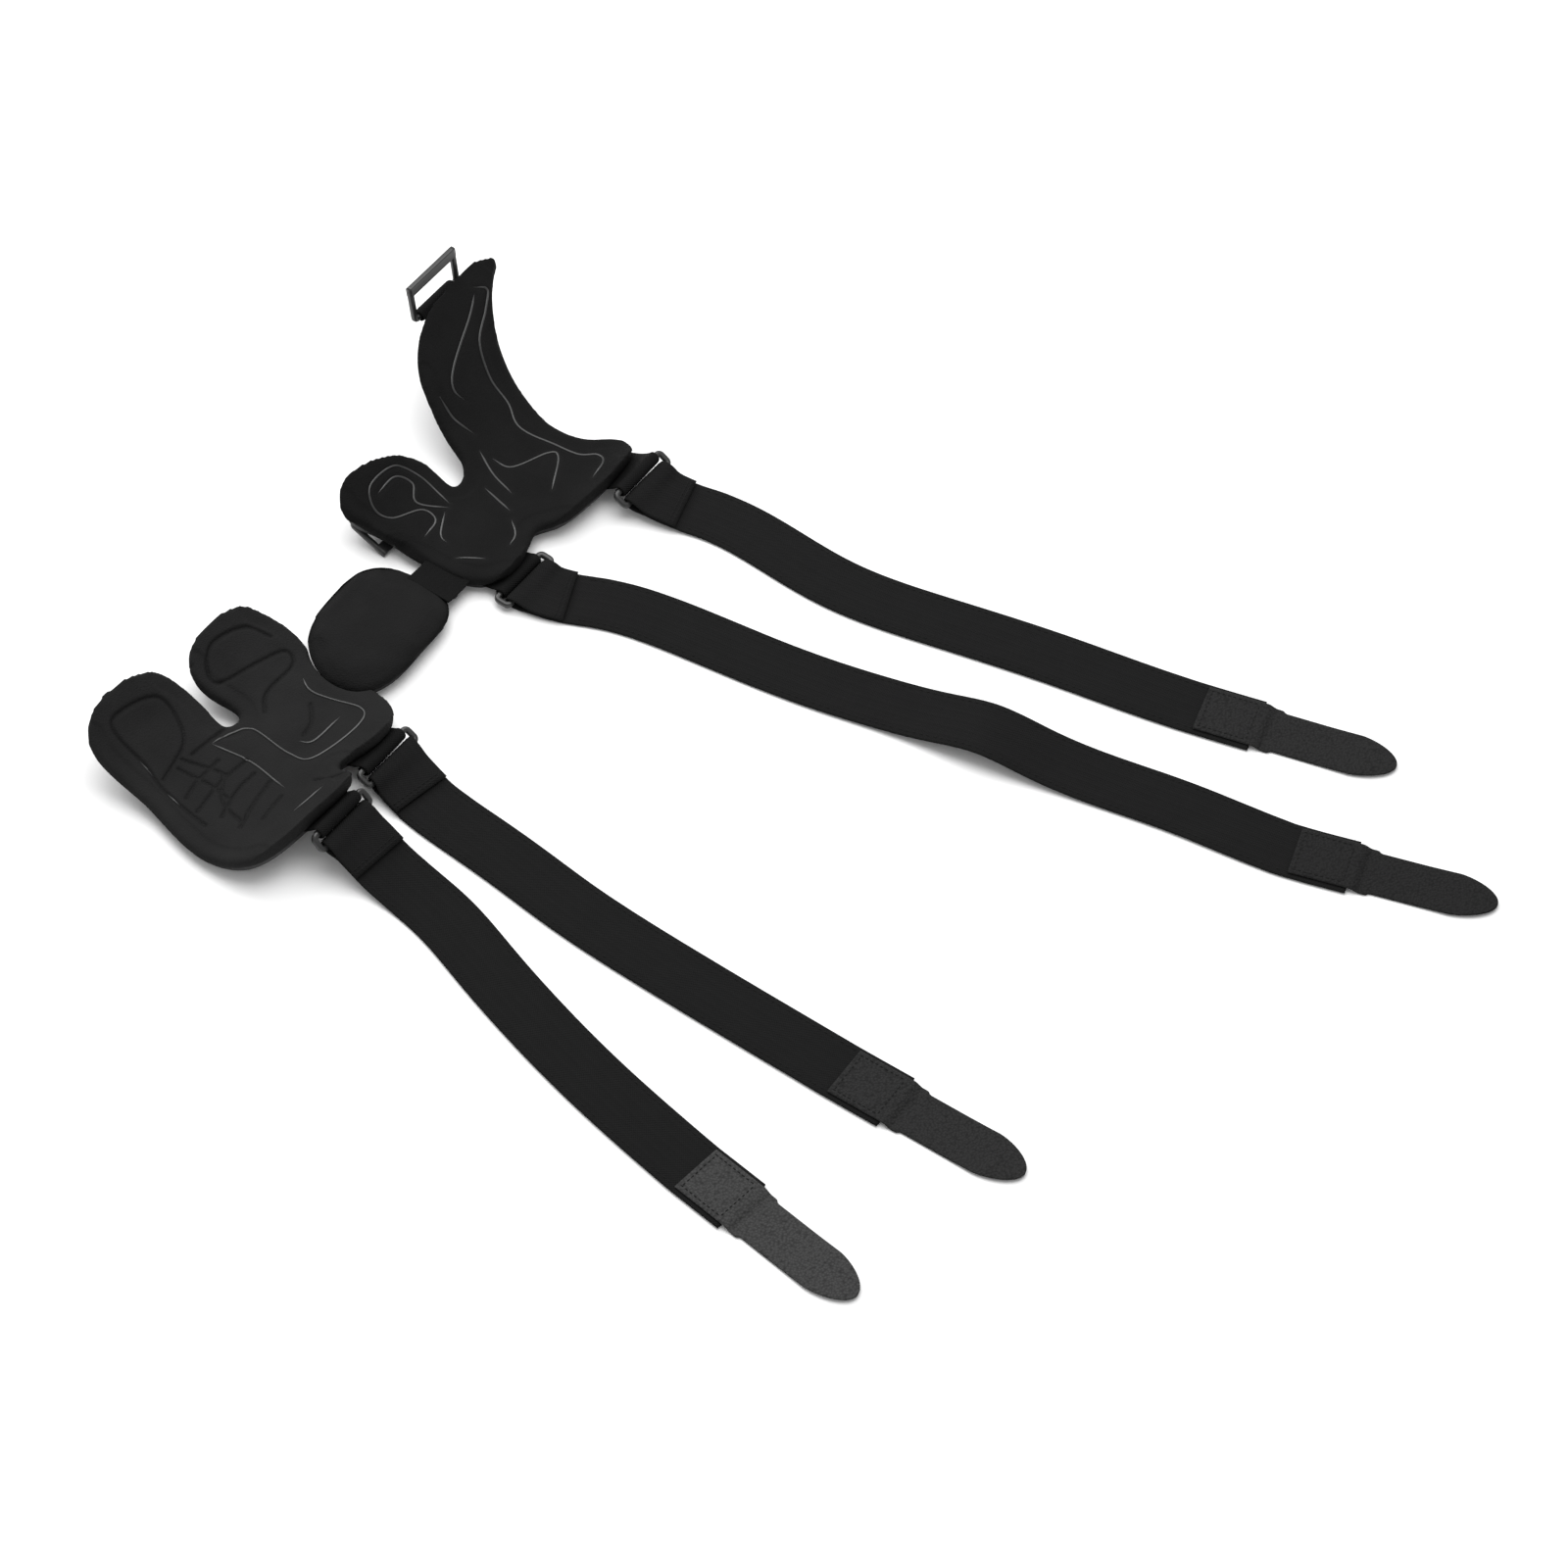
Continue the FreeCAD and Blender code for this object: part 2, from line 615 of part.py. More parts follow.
def sling(label, spec, tail_sign, width_alias, sling_rivets):
    """A band riveted to the shell and wrapped round the hinge bar of a ring or loop."""
    x, z = hinge_bar_centre(spec)
    width = size(width_alias)
    start = x if tail_sign > 0 else x - size("sling_tail")
    under = spec.get("under")
    low, high = ("sling_low", "shell_low") if under else ("shell_high", "pad_low")
    tail_length = "dims.under_sling_tail" if under else "dims.sling_tail"
    slab = box(label + "_slab", start, spec["y"] - width / 2, size("prism_start_z"), tail_length,
               "dims." + width_alias, "dims.prism_height")
    tail = common(label + "_tail", slab, layer(spec["cuff"], low, high))
    wrap = cylinder_along_y(label + "_wrap",
                            "dims.bar_radius + dims.bar_clearance + dims.sling_thickness",
                            width_alias, x, spec["y"], z)
    eye = cylinder_along_y(label + "_eye", "dims.bar_radius + dims.bar_clearance",
                           width_alias, x, spec["y"], z)
    wrapped = cut(label + "_wrapped", fuse(label + "_blank", [tail, wrap]), eye)
    node(cut(label, wrapped, sling_rivets), label)


def frame_of_bars(name, length, reach):
    """A rectangle of four bars; its hinge bar lies on the y axis of its own frame."""
    half = size(length) / 2
    thick = 2 * size("bar_radius")
    hinge_bar = cylinder_along_y(name + "_hinge_bar", "dims.bar_radius", length, 0, 0, 0)
    far_bar = cylinder_along_y(name + "_far_bar", "dims.bar_radius", length, size(reach), 0, 0)
    arms = [box("%s_arm_%d" % (name, number), 0, y, -size("bar_radius"), "dims." + reach,
                "2 * dims.bar_radius", "2 * dims.bar_radius")
            for number, y in ((1, -half), (2, half - thick))]
    return fuse(name, [hinge_bar, far_bar] + arms)


def make_loop(number, spec, sling_rivets):
    sling("loop_sling_%d" % number, spec, 1, "loop_sling_width", sling_rivets)
    bars = frame_of_bars("loop_%d_bars" % number, "loop_length", "loop_reach")
    radius = size("bar_radius")
    plate = box("loop_%d_plate" % number, size("loop_reach") + radius - size("loop_plate_width"),
                -size("loop_length") / 2, -radius,
                "dims.loop_plate_width - dims.bar_radius", "dims.loop_length",
                "2 * dims.bar_radius")
    loop = fuse("loop_%d" % number, [bars, plate])
    x, z = hinge_bar_centre(spec)
    place(loop, x, spec["y"], z, (0, 1, 0), spec["turn"])
    node(loop, "strap_loop_%d" % number)


def band_blank(name, route):
    """A ribbon that follows a route in plan and in side view."""
    half = size("band_width") / 2
    thick = size("band_thickness") / 2
    plan = [(x, y) for x, y, _ in route]
    side = [(x, z) for x, _, z in route]
    solids = []
    for view, line, offset in (("plan", plan, half), ("side", side, thick)):
        sketch = doc.addObject("Sketcher::SketchObject", "%s_%s" % (name, view))
        left = []
        right = []
        for index, (x, y) in enumerate(line):
            before = line[max(index - 1, 0)]
            after = line[min(index + 1, len(line) - 1)]
            nx, ny = side_normal(before, after) if index else (0.0, 1.0)
            left.append((x + nx * offset, y + ny * offset))
            right.append((x - nx * offset, y - ny * offset))
        sketch.addGeometry(smooth_curve(left), False)
        sketch.addGeometry(smooth_curve(right), False)
        for ends in ([left[0], right[0]], [left[-1], right[-1]]):
            add_lines(sketch, ends, closed=False)
        if view == "plan":
            place(sketch, z=size("prism_start_z"))
            solids.append(extrude(name + "_plan_solid", sketch, (0, 0, 1), "dims.prism_height"))
        else:
            place(sketch, y=size("layer_start_y"), axis=(1, 0, 0), angle=90)
            solids.append(extrude(name + "_side_solid", sketch, (0, 1, 0),
                                  "dims.layer_length"))
    return common(name + "_ribbon", solids[0], solids[1])


def elastic_band(number, spec):
    """The elastic band, folded round the outer bar of its ring and sewn to itself."""
    name = "band_%d" % number
    x, z = spec["outer"]
    wrap = cylinder_along_y(name + "_wrap",
                            "dims.bar_radius + dims.bar_clearance + dims.band_fold_thickness",
                            "band_width", x, spec["y"], z)
    eye = cylinder_along_y(name + "_eye", "dims.bar_radius + dims.bar_clearance",
                           "ring_length", x, spec["y"], z)
    blank = fuse(name + "_blank", [band_blank(name, spec["route"]), wrap])
    node(cut(name, blank, eye), "elastic_band_%d" % number)


def tab_sketch(name):
    """Plan of a hook tab: square patch, shoulders, and a tongue with a round tip."""
    patch = size("patch_width") / 2
    tongue = size("tongue_width") / 2
    shoulder = size("patch_length") + size("shoulder_length")
    taper_start = shoulder - size("tab_shoulder_taper")
    tip = size("tab_length")
    nose = tip - size("tab_nose_length")
    sketch = doc.addObject("Sketcher::SketchObject", name)
    corners = [(nose, -tongue), (shoulder, -tongue), (taper_start, -patch), (0.0, -patch),
               (0.0, patch), (taper_start, patch), (shoulder, tongue), (nose, tongue)]
    add_lines(sketch, corners, closed=False)
    flank = size("tab_nose_flank")
    bend = tip - size("tab_nose_bend")
    curve = smooth_curve([(nose, tongue), (bend, flank), (tip, 0.0), (bend, -flank),
                          (nose, -tongue)])
    sketch.addGeometry(curve, False)
    return sketch


def hook_tab(number, spec):
    """The tab: its patch lies on the band's end and its tongue on the ground."""
    name = "tab_%d" % number
    x, y, angle = spec["tab"]
    thick = size("tab_thickness")
    top = spec["route"][-1][2] + size("band_thickness") / 2
    floor = size("tab_floor_gap")
    drop_start = size("patch_length") + size("tab_bend_margin")
    drop_end = size("patch_length") + size("shoulder_length") - size("tab_bend_margin")
    over = size("overrun")
    tip = size("tab_length") + over
    side = [(-over, top), (drop_start, top), (drop_end, floor), (tip, floor),
            (tip, floor + thick), (drop_end, floor + thick), (drop_start, top + thick),
            (-over, top + thick)]
    profile = doc.addObject("Sketcher::SketchObject", name + "_side")
    add_lines(profile, side)
    place(profile, y=-size("patch_width"), axis=(1, 0, 0), angle=90)
    slab = extrude(name + "_slab", profile, (0, 1, 0), "2 * dims.patch_width")
    plan = extrude(name + "_plan_solid", tab_sketch(name + "_plan"), (0, 0, 1),
                   "dims.prism_height")
    tab = common(name, plan, slab)
    node(place(tab, x, y, 0.0, angle=angle), "hook_tab_%d" % number)
    tab_stitching(number, spec, top + thick)


def tab_stitching(number, spec, z):
    """The row of thread round the patch of a hook tab."""
    x, y, angle = spec["tab"]
    margin = size("stitch_margin")
    width = size("patch_width")
    length = size("patch_length")
    thread = size("thread_width")
    name = "stitching_%d" % number
    rows = []
    for index, side in enumerate((-width / 2 + margin, width / 2 - margin - thread)):
        rows.append(box("%s_long_%d" % (name, index + 1), margin, side, z,
                        "dims.patch_length - 2 * dims.stitch_margin", "dims.thread_width",
                        "dims.thread_height"))
    for index, along in enumerate((margin, length - margin - thread)):
        rows.append(box("%s_cross_%d" % (name, index + 1), along, -width / 2 + margin, z,
                        "dims.thread_width", "dims.patch_width - 2 * dims.stitch_margin",
                        "dims.thread_height"))
    node(place(fuse(name, rows), x, y, 0.0, angle=angle), "tab_stitching_%d" % number)


def make_strap(number, spec, sling_rivets):
    sling("ring_sling_%d" % number, spec, -1, "ring_sling_width", sling_rivets)
    x, z = hinge_bar_centre(spec)
    far_x, far_z = spec["outer"]
    ring = frame_of_bars("ring_%d" % number, "ring_length", "ring_reach")
    tilt = math.degrees(math.atan2(z - far_z, far_x - x))
    place(ring, x, spec["y"], z, (0, 1, 0), tilt)
    node(ring, "strap_ring_%d" % number)
    elastic_band(number, spec)
    hook_tab(number, spec)


# ------------------------------------------------------------------- build

def build():
    trough = fold_trough()
    sling_rivets = {cuff: all_sling_rivets(cuff) for cuff in ("upper", "forearm")}
    upper_arm(trough, sling_rivets["upper"])
    forearm(trough, sling_rivets["forearm"])
    for number, spec in STRAPS.items():
        make_strap(number, spec, sling_rivets[spec["cuff"]])
    for number, spec in LOOPS.items():
        make_loop(number, spec, sling_rivets[spec["cuff"]])
    doc.recompute()


def check():
    for item in doc.Objects:
        if "Invalid" in item.State or "Error" in item.State:
            raise RuntimeError("%s failed to recompute" % item.Name)
    for item in nodes:
        if item.Shape.isNull() or not item.Shape.isValid() or item.Shape.Volume <= 0:
            raise RuntimeError("%s has no valid shape" % item.Label)


def export():
    os.makedirs("parts", exist_ok=True)
    for item in nodes:
        item.Shape.exportStep("parts/%s.step" % item.Label)
    whole = Part.makeCompound([item.Shape for item in nodes]).BoundBox
    print("%d nodes, x %.2f to %.2f, y %.2f to %.2f, z %.2f to %.2f" % (
        len(nodes), whole.XMin, whole.XMax, whole.YMin, whole.YMax, whole.ZMin, whole.ZMax))


build()
check()
export()
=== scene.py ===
import json
import math

import bmesh
import bpy
import numpy as np
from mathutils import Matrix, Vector
from mathutils.bvhtree import BVHTree
from mathutils.kdtree import KDTree


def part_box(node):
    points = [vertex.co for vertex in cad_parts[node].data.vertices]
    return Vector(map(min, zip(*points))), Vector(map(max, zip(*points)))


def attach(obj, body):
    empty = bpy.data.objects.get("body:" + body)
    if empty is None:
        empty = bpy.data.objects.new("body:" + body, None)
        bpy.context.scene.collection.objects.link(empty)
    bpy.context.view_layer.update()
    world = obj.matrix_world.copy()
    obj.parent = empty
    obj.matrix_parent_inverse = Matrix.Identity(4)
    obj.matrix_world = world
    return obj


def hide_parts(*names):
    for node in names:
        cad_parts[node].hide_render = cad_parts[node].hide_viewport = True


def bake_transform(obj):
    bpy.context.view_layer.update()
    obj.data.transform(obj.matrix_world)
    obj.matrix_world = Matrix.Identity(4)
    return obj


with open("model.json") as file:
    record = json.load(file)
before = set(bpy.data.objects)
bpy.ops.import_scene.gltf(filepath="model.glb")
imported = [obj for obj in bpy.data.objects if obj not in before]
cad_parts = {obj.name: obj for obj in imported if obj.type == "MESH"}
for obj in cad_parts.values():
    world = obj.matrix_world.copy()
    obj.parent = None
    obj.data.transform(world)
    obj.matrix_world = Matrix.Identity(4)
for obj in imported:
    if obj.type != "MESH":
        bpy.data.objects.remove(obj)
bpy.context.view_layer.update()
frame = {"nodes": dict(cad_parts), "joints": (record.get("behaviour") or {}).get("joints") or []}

# Lengths here are in millimetres, in the frame's axes, unless a name says otherwise.
MM = 0.001

# cross-section of the cuffs: a flat spine between two rising sides
SPINE_LEFT, SPINE_RIGHT = -210.0, -190.0
LEFT_RADIUS, LEFT_SLOPE = 75.0, math.radians(40)
RIGHT_RADIUS = {"upper": 40.0, "forearm": 62.0}
RIGHT_SLOPE = math.radians(45)
PAD_LOW, PAD_HIGH, ELBOW_PAD_HIGH = 3.2, 9.2, 11.4

BAR_RADIUS, BAR_CORNER, BAR_SIDES = 1.5, 1.8, 16
SLING_THICKNESS, SLING_PULL, SLING_WRAP_GAP = 1.3, 3.0, 0.5
BAND_WIDTH, BAND_THICKNESS = 30.0, 1.8
SLING_TAIL, UNDER_SLING_TAIL = 17.5, 12.4
INNER_SLING_HEIGHT, UNDER_SLING_HEIGHT = 2.6, -0.7
RING_SLING_WIDTH, LOOP_SLING_WIDTH = 28.0, 26.0
RING_LENGTH, RING_REACH = 37.0, 7.0
LOOP_LENGTH, LOOP_REACH = 35.0, 20.0
LOOP_PLATE_WIDTH = 6.0
LOOP_TURN = {1: 265.0, 2: 24.0, 3: 24.0, 4: 24.0}
CUFF_OF = {1: "upper", 2: "upper", 3: "forearm", 4: "forearm"}
BODY_OF = {"upper": "upper_arm", "forearm": "forearm"}
NUMBERS = (1, 2, 3, 4)

# elastic bands: where the plies part from the bar, how long the folded-over ply is, the run
# over which the fold settles, its radius round the bar, and the lowest middle of each ply
PLY_START, FOLD_END, FOLD_SETTLE, BAND_WRAP = 1.5, 22.0, 14.0, BAR_RADIUS + 1.1
UNDER_PLY, OVER_PLY = BAND_THICKNESS / 2 + 0.15, 1.5 * BAND_THICKNESS + 0.1
# their seams: offset from the middle line or half length, pitch; then one thread
LONG_SEAM, LONG_PITCH = 12.4, 3.6
CROSS_SEAM, CROSS_PITCH = 13.0, 2.4
BAND_STITCH, BAND_THREAD = 2.3, 0.28

# hook tabs: where the patch starts (x, y) and the way it points, in degrees
TABS = {1: (128.0, 164.8, 15.0), 2: (207.0, 120.8, 17.5), 3: (113.0, -96.0, 1.5),
        4: (91.0, -174.4, -7.0)}
PATCH_LENGTH, PATCH_WIDTH, SHOULDER = 27.0, 26.0, 10.5
TONGUE_WIDTH, TAB_LENGTH, TAB_THICKNESS = 23.5, 93.5, 1.2
NOSE_LENGTH = 20.0
# heights of a tab's tongue and patch, the step between them, the tongue's curl, and the seam
TONGUE_Z, PATCH_Z = 0.8, 2.6
STEP_START, STEP_LENGTH = 1.5, 4.5
CURL, CURL_START, CURL_LENGTH = 0.9, 55.0, 35.0
SEAM_MARGIN, SEAM_PITCH = 2.2, 2.6
TAB_STITCH, TAB_THREAD = 1.9, 0.3
TAB_TONES = {1: 0.014, 2: 0.011, 3: 0.017, 4: 0.039}

# rim of the small lobe beside the hinge, and how far up the lobe it is filled in
LOBE_FLANK = [(-257, 18.5), (-254, 13.8), (-247, 15.0), (-241, 17.0), (-234, 18.8),
              (-229, 20.8), (-223, 23.8)]
FLANK_FAR_Y = 36.0

# pads: how far in and how deep their edges are rounded, the border and the step of a raised
# panel, how far in a crown reaches, and the height of the slow waves on top
EDGE_ROUNDING, TOP_ROUNDING, BOTTOM_ROUNDING = 4.0, 2.0, 1.0
PANEL_BORDER, PANEL_STEP, CROWN_REACH, WAVE_HEIGHT = 7.0, 2.5, 20.0, 0.22
BEAD_HALF_WIDTH, BEAD_HALF_HEIGHT, BEAD_SIDES = 0.62, 0.42, 8
WALL_TILT = 0.35  # a face is a side wall if its normal has a smaller cosine to the layer normal
SWELL_PRESSURE, SWELL_FRAMES = 4.0, 20

# neck over the hinge: y and z from the pin, then its size
NECK_STATIONS = [(-8.5, 4.6), (-4.0, 3.9), (0.0, 3.7), (4.0, 3.9), (8.5, 4.6)]
NECK_WIDTH, NECK_THICKNESS, NECK_BEND, NECK_Z = 25.0, 1.0, 5.0, 6.0

# camera in degrees, metres and lens millimetres; lamps as name, place, width in metres, watts
CAMERA_AZIMUTH, CAMERA_ELEVATION, CAMERA_DISTANCE_M = 36.0, 52.24, 2.315
CAMERA_TARGET_M = (-0.002, 0.018, 0.0)
CAMERA_LENS, SENSOR_WIDTH = 117.0, 36.0
LAMPS = (("overhead", (-0.3, 0.5, 1.6), 1.6, 26.0), ("side", (-1.5, 0.4, 1.1), 1.0, 12.0))
WORLD_STRENGTH = 0.62
FLOOR_HALF, FLOOR_TONE = 6000.0, 0.93

# welded lines on the pads, as the x and y of points on smooth curves
UPPER_LINES = [
    [(-278, 145), (-274, 150), (-269, 142), (-262, 128), (-250, 120), (-237, 117),
     (-226, 111), (-209, 113), (-194, 115), (-186, 120), (-180, 117), (-178, 106)],
    [(-276, 143), (-271, 132), (-262, 108), (-256, 100), (-250, 101)],
    [(-258, 92), (-248, 90), (-238, 92)],
    [(-224, 88), (-214, 90), (-206, 107), (-200, 108), (-190, 90)],
    [(-231, 87), (-218, 81), (-204, 77)],
    [(-216, 72), (-198, 68)],
    [(-194, 64), (-187, 58), (-185, 51)],
    [(-201, 30), (-189, 38)],
    [(-223, 54), (-240, 55), (-251, 49), (-252, 32), (-245, 25), (-237, 28),
     (-230, 42), (-222, 42), (-220, 31)],
    [(-248, 32), (-248, 45), (-241, 49), (-234, 43), (-222, 52)],
    [(-222, 49), (-215, 37), (-210, 35)],
]
LOWER_GROOVES = [
    [(-225, -152), (-230, -132), (-240, -124), (-251, -124), (-256, -140), (-254, -151),
     (-236, -152), (-222, -156), (-194, -160)],
    [(-228, -139), (-214, -134), (-204, -132)],
    [(-224, -133), (-222, -112)],
    [(-237, -61), (-247, -67), (-251, -85), (-245, -96), (-238, -96), (-233, -76),
     (-228, -62), (-221, -65), (-220, -85), (-214, -94)],
    [(-200, -78), (-193, -86), (-191, -94)],
    [(-203, -120), (-204, -138), (-202, -156)],
    [(-213, -128), (-213, -142), (-211, -153)],
    [(-224, -143), (-208, -141), (-196, -142)],
    [(-206, -133), (-196, -145), (-182, -149)],
    [(-195, -124), (-195, -137), (-191, -152)],
    [(-186, -124), (-184, -138), (-180, -152)],
    [(-176, -128), (-174, -143)],
    [(-157, -106), (-162, -110), (-168, -114)],
]
LOWER_BEADS = [
    [(-213, -68), (-203, -72), (-180, -67), (-173, -76), (-178, -102), (-190, -106),
     (-212, -105), (-218, -112), (-221, -123)],
    [(-191, -98), (-185, -94), (-184, -76)],
    [(-221, -123), (-202, -120), (-178, -123)],
    [(-160, -117), (-161, -126), (-163, -135)],
    [(-238, -152.4), (-234, -152.8), (-230, -153.6)],
    [(-219, -156.4), (-215, -157), (-211, -157.5)],
]


# ---------------------------------------------------------------- geometry

def smoothstep(t):
    t = np.clip(t, 0.0, 1.0)
    return t * t * (3 - 2 * t)


def unit(v):
    v = np.asarray(v, float)
    return v / np.linalg.norm(v, axis=-1, keepdims=True)


def surface(cuff, x, height):
    """The z and the unit normal (x, z) of a cuff's layer above its outer face at x."""
    if SPINE_LEFT <= x <= SPINE_RIGHT:
        return height, (0.0, 1.0)
    left = x < SPINE_LEFT
    radius = LEFT_RADIUS if left else RIGHT_RADIUS[cuff]
    limit = LEFT_SLOPE if left else RIGHT_SLOPE
    run = SPINE_LEFT - x if left else x - SPINE_RIGHT
    inner = radius - height
    angle = min(math.asin(min(run / inner, 1.0)), limit)
    rise = max(run - inner * math.sin(limit), 0.0) * math.tan(limit)
    sign = 1.0 if left else -1.0
    return radius - inner * math.cos(angle) + rise, (sign * math.sin(angle), math.cos(angle))


def heights(cuff, points):
    """Height above the outer face, and the layer's normal, of points in x, y, z."""
    x, z = points[:, 0], points[:, 2]
    left = x < (SPINE_LEFT + SPINE_RIGHT) / 2
    radius = np.where(left, LEFT_RADIUS, RIGHT_RADIUS[cuff])
    run = np.maximum(np.where(left, SPINE_LEFT - x, x - SPINE_RIGHT), 0.0)
    limit = np.where(left, LEFT_SLOPE, RIGHT_SLOPE)
    angle = np.minimum(np.arctan2(run, radius - z), limit)
    height = radius - run * np.sin(angle) - (radius - z) * np.cos(angle)
    normal = np.zeros_like(points)
    normal[:, 0] = np.where(left, 1.0, -1.0) * np.sin(angle)
    normal[:, 2] = np.cos(angle)
    return height, normal


def smooth_line(points, step):
    """Points about a step apart on a Catmull-Rom curve through the given ones."""
    p = np.array(points, float)
    p = np.vstack([2 * p[0] - p[1], p, 2 * p[-1] - p[-2]])
    made = []
    for a, b, c, d in zip(p, p[1:], p[2:], p[3:]):
        count = max(2, int(np.linalg.norm(c - b) / step))
        t = np.linspace(0, 1, count, endpoint=False)[:, None]
        made.append(0.5 * (2 * b + (c - a) * t + (2 * a - 5 * b + 4 * c - d) * t ** 2
                           + (3 * b - a - 3 * c + d) * t ** 3))
    made.append(p[-2][None])
    return np.vstack(made)


def make_object(name, vertices, faces, material, attributes=None, smooth=True):
    mesh = bpy.data.meshes.new(name)
    mesh.from_pydata((np.asarray(vertices) * MM).tolist(), [], faces)
    for key, values in (attributes or {}).items():
        mesh.attributes.new(key, "FLOAT", "POINT").data.foreach_set(
            "value", np.asarray(values, np.float32))
    mesh.polygons.foreach_set("use_smooth", [smooth] * len(mesh.polygons))
    if material is not None:
        mesh.materials.append(material)
    obj = bpy.data.objects.new(name, mesh)
    bpy.context.scene.collection.objects.link(obj)
    tidy = bmesh.new()
    tidy.from_mesh(mesh)
    bmesh.ops.recalc_face_normals(tidy, faces=tidy.faces)
    tidy.to_mesh(mesh)
    tidy.free()
    return obj


def finish_piece(obj, body, slot, *nodes):
    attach(obj, body)
    if nodes:
        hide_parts(*nodes)


def rings_to_faces(count, around, closed=False):
    """Quads between successive rings of vertices, with caps on an open tube."""
    faces = []
    for i in range(count if closed else count - 1):
        a, b = i * around, (i + 1) % count * around
        faces += [(a + j, a + (j + 1) % around, b + (j + 1) % around, b + j)
                  for j in range(around)]
    if not closed:
        faces.append(tuple(range(around)))
        faces.append(tuple((count - 1) * around + j for j in range(around)))
    return faces


def ribbon(name, centres, sides, normals, width, thickness, material, ribs=0.0, pitch=2.5):
    """A strip with rounded edges; width may be one number or one for each centre."""
    across = np.linspace(-1, 1, 49)
    # full thickness over most of the width, and a quarter of it at the edges
    edge = (1 - np.abs(across) ** 10) ** 0.5 * 0.75 + 0.25
    widths = np.broadcast_to(np.asarray(width, float), (len(centres),))
    along = np.concatenate([[0], np.cumsum(np.linalg.norm(np.diff(centres, axis=0), axis=1))])
    rows, runs, crossings = [], [], []
    for centre, side, normal, wide, run in zip(centres, sides, normals, widths, along):
        v = across * wide / 2
        top = thickness / 2 * edge + ribs * np.cos(2 * math.pi * v / pitch)
        ring_v = np.concatenate([v, v[::-1]])
        ring_h = np.concatenate([top, -top[::-1]])
        rows.append(centre + ring_v[:, None] * side + ring_h[:, None] * normal)
        runs.append(np.full(len(ring_v), run))
        crossings.append(ring_v)
    faces = rings_to_faces(len(rows), 2 * len(across))
    return make_object(name, np.vstack(rows), faces, material,
                       {"along": np.concatenate(runs), "across": np.concatenate(crossings)})


def bar_frame(name, hinge, turn, y, length, reach, material):
    """A rounded rectangle of bar: one long side lies on the hinge."""
    half, corner = length / 2 - BAR_RADIUS, BAR_CORNER
    path = []
    for cx, cy, start in ((reach - corner, half - corner, 0), (corner, half - corner, 90),
                          (corner, corner - half, 180), (reach - corner, corner - half, 270)):
        for a in np.radians(start + np.linspace(0, 90, 7)):
            path.append((cx + corner * math.cos(a), cy + corner * math.sin(a)))
    path = np.array(path)
    tangent = unit(np.roll(path, -1, 0) - np.roll(path, 1, 0))
    out = np.stack([tangent[:, 1], -tangent[:, 0]], 1)
    turn = math.radians(turn)
    rows = []
    for (u, v), (nu, nv) in zip(path, out):
        for a in np.linspace(0, 2 * math.pi, BAR_SIDES, endpoint=False):
            # a section between round and square
            c, s = math.cos(a), math.sin(a)
            grow = BAR_RADIUS * 0.97 / (abs(c) ** 3 + abs(s) ** 3) ** (1 / 3)
            lu, lv, lw = u + nu * c * grow, v + nv * c * grow, s * grow
            rows.append((hinge[0] + lu * math.cos(turn) + lw * math.sin(turn), y + lv,
                         hinge[1] - lu * math.sin(turn) + lw * math.cos(turn)))
    return make_object(name, rows, rings_to_faces(len(path), BAR_SIDES, closed=True), material)


def stitches(name, places, directions, normals, length, radius, material):
    """Short threads, each sunk at both ends, at places in x, y, z."""
    vertices, faces = [], []
    for place, way, normal in zip(places, unit(directions), unit(normals)):
        side = np.cross(normal, way)
        base = len(vertices)
        for t, swell in ((-1, 0.2), (-0.7, 0.85), (0, 1.0), (0.7, 0.85), (1, 0.2)):
            lift = -radius * 0.9 * t * t
            for a in np.linspace(0, 2 * math.pi, 6, endpoint=False):
                vertices.append(place + way * t * length / 2 + normal * lift
                                + radius * swell * (math.cos(a) * side + math.sin(a) * normal))
        faces += [tuple(base + j for j in face) for face in rings_to_faces(5, 6)]
    return make_object(name, vertices, faces, material)


# --------------------------------------------------------------- materials

def shader(name, tone, roughness, specular):
    material = bpy.data.materials.new(name)
    material.use_nodes = True
    bsdf = material.node_tree.nodes["Principled BSDF"]
    bsdf.inputs["Base Color"].default_value = (tone, tone, tone, 1)
    bsdf.inputs["Roughness"].default_value = roughness
    bsdf.inputs["Specular IOR Level"].default_value = specular
    return material


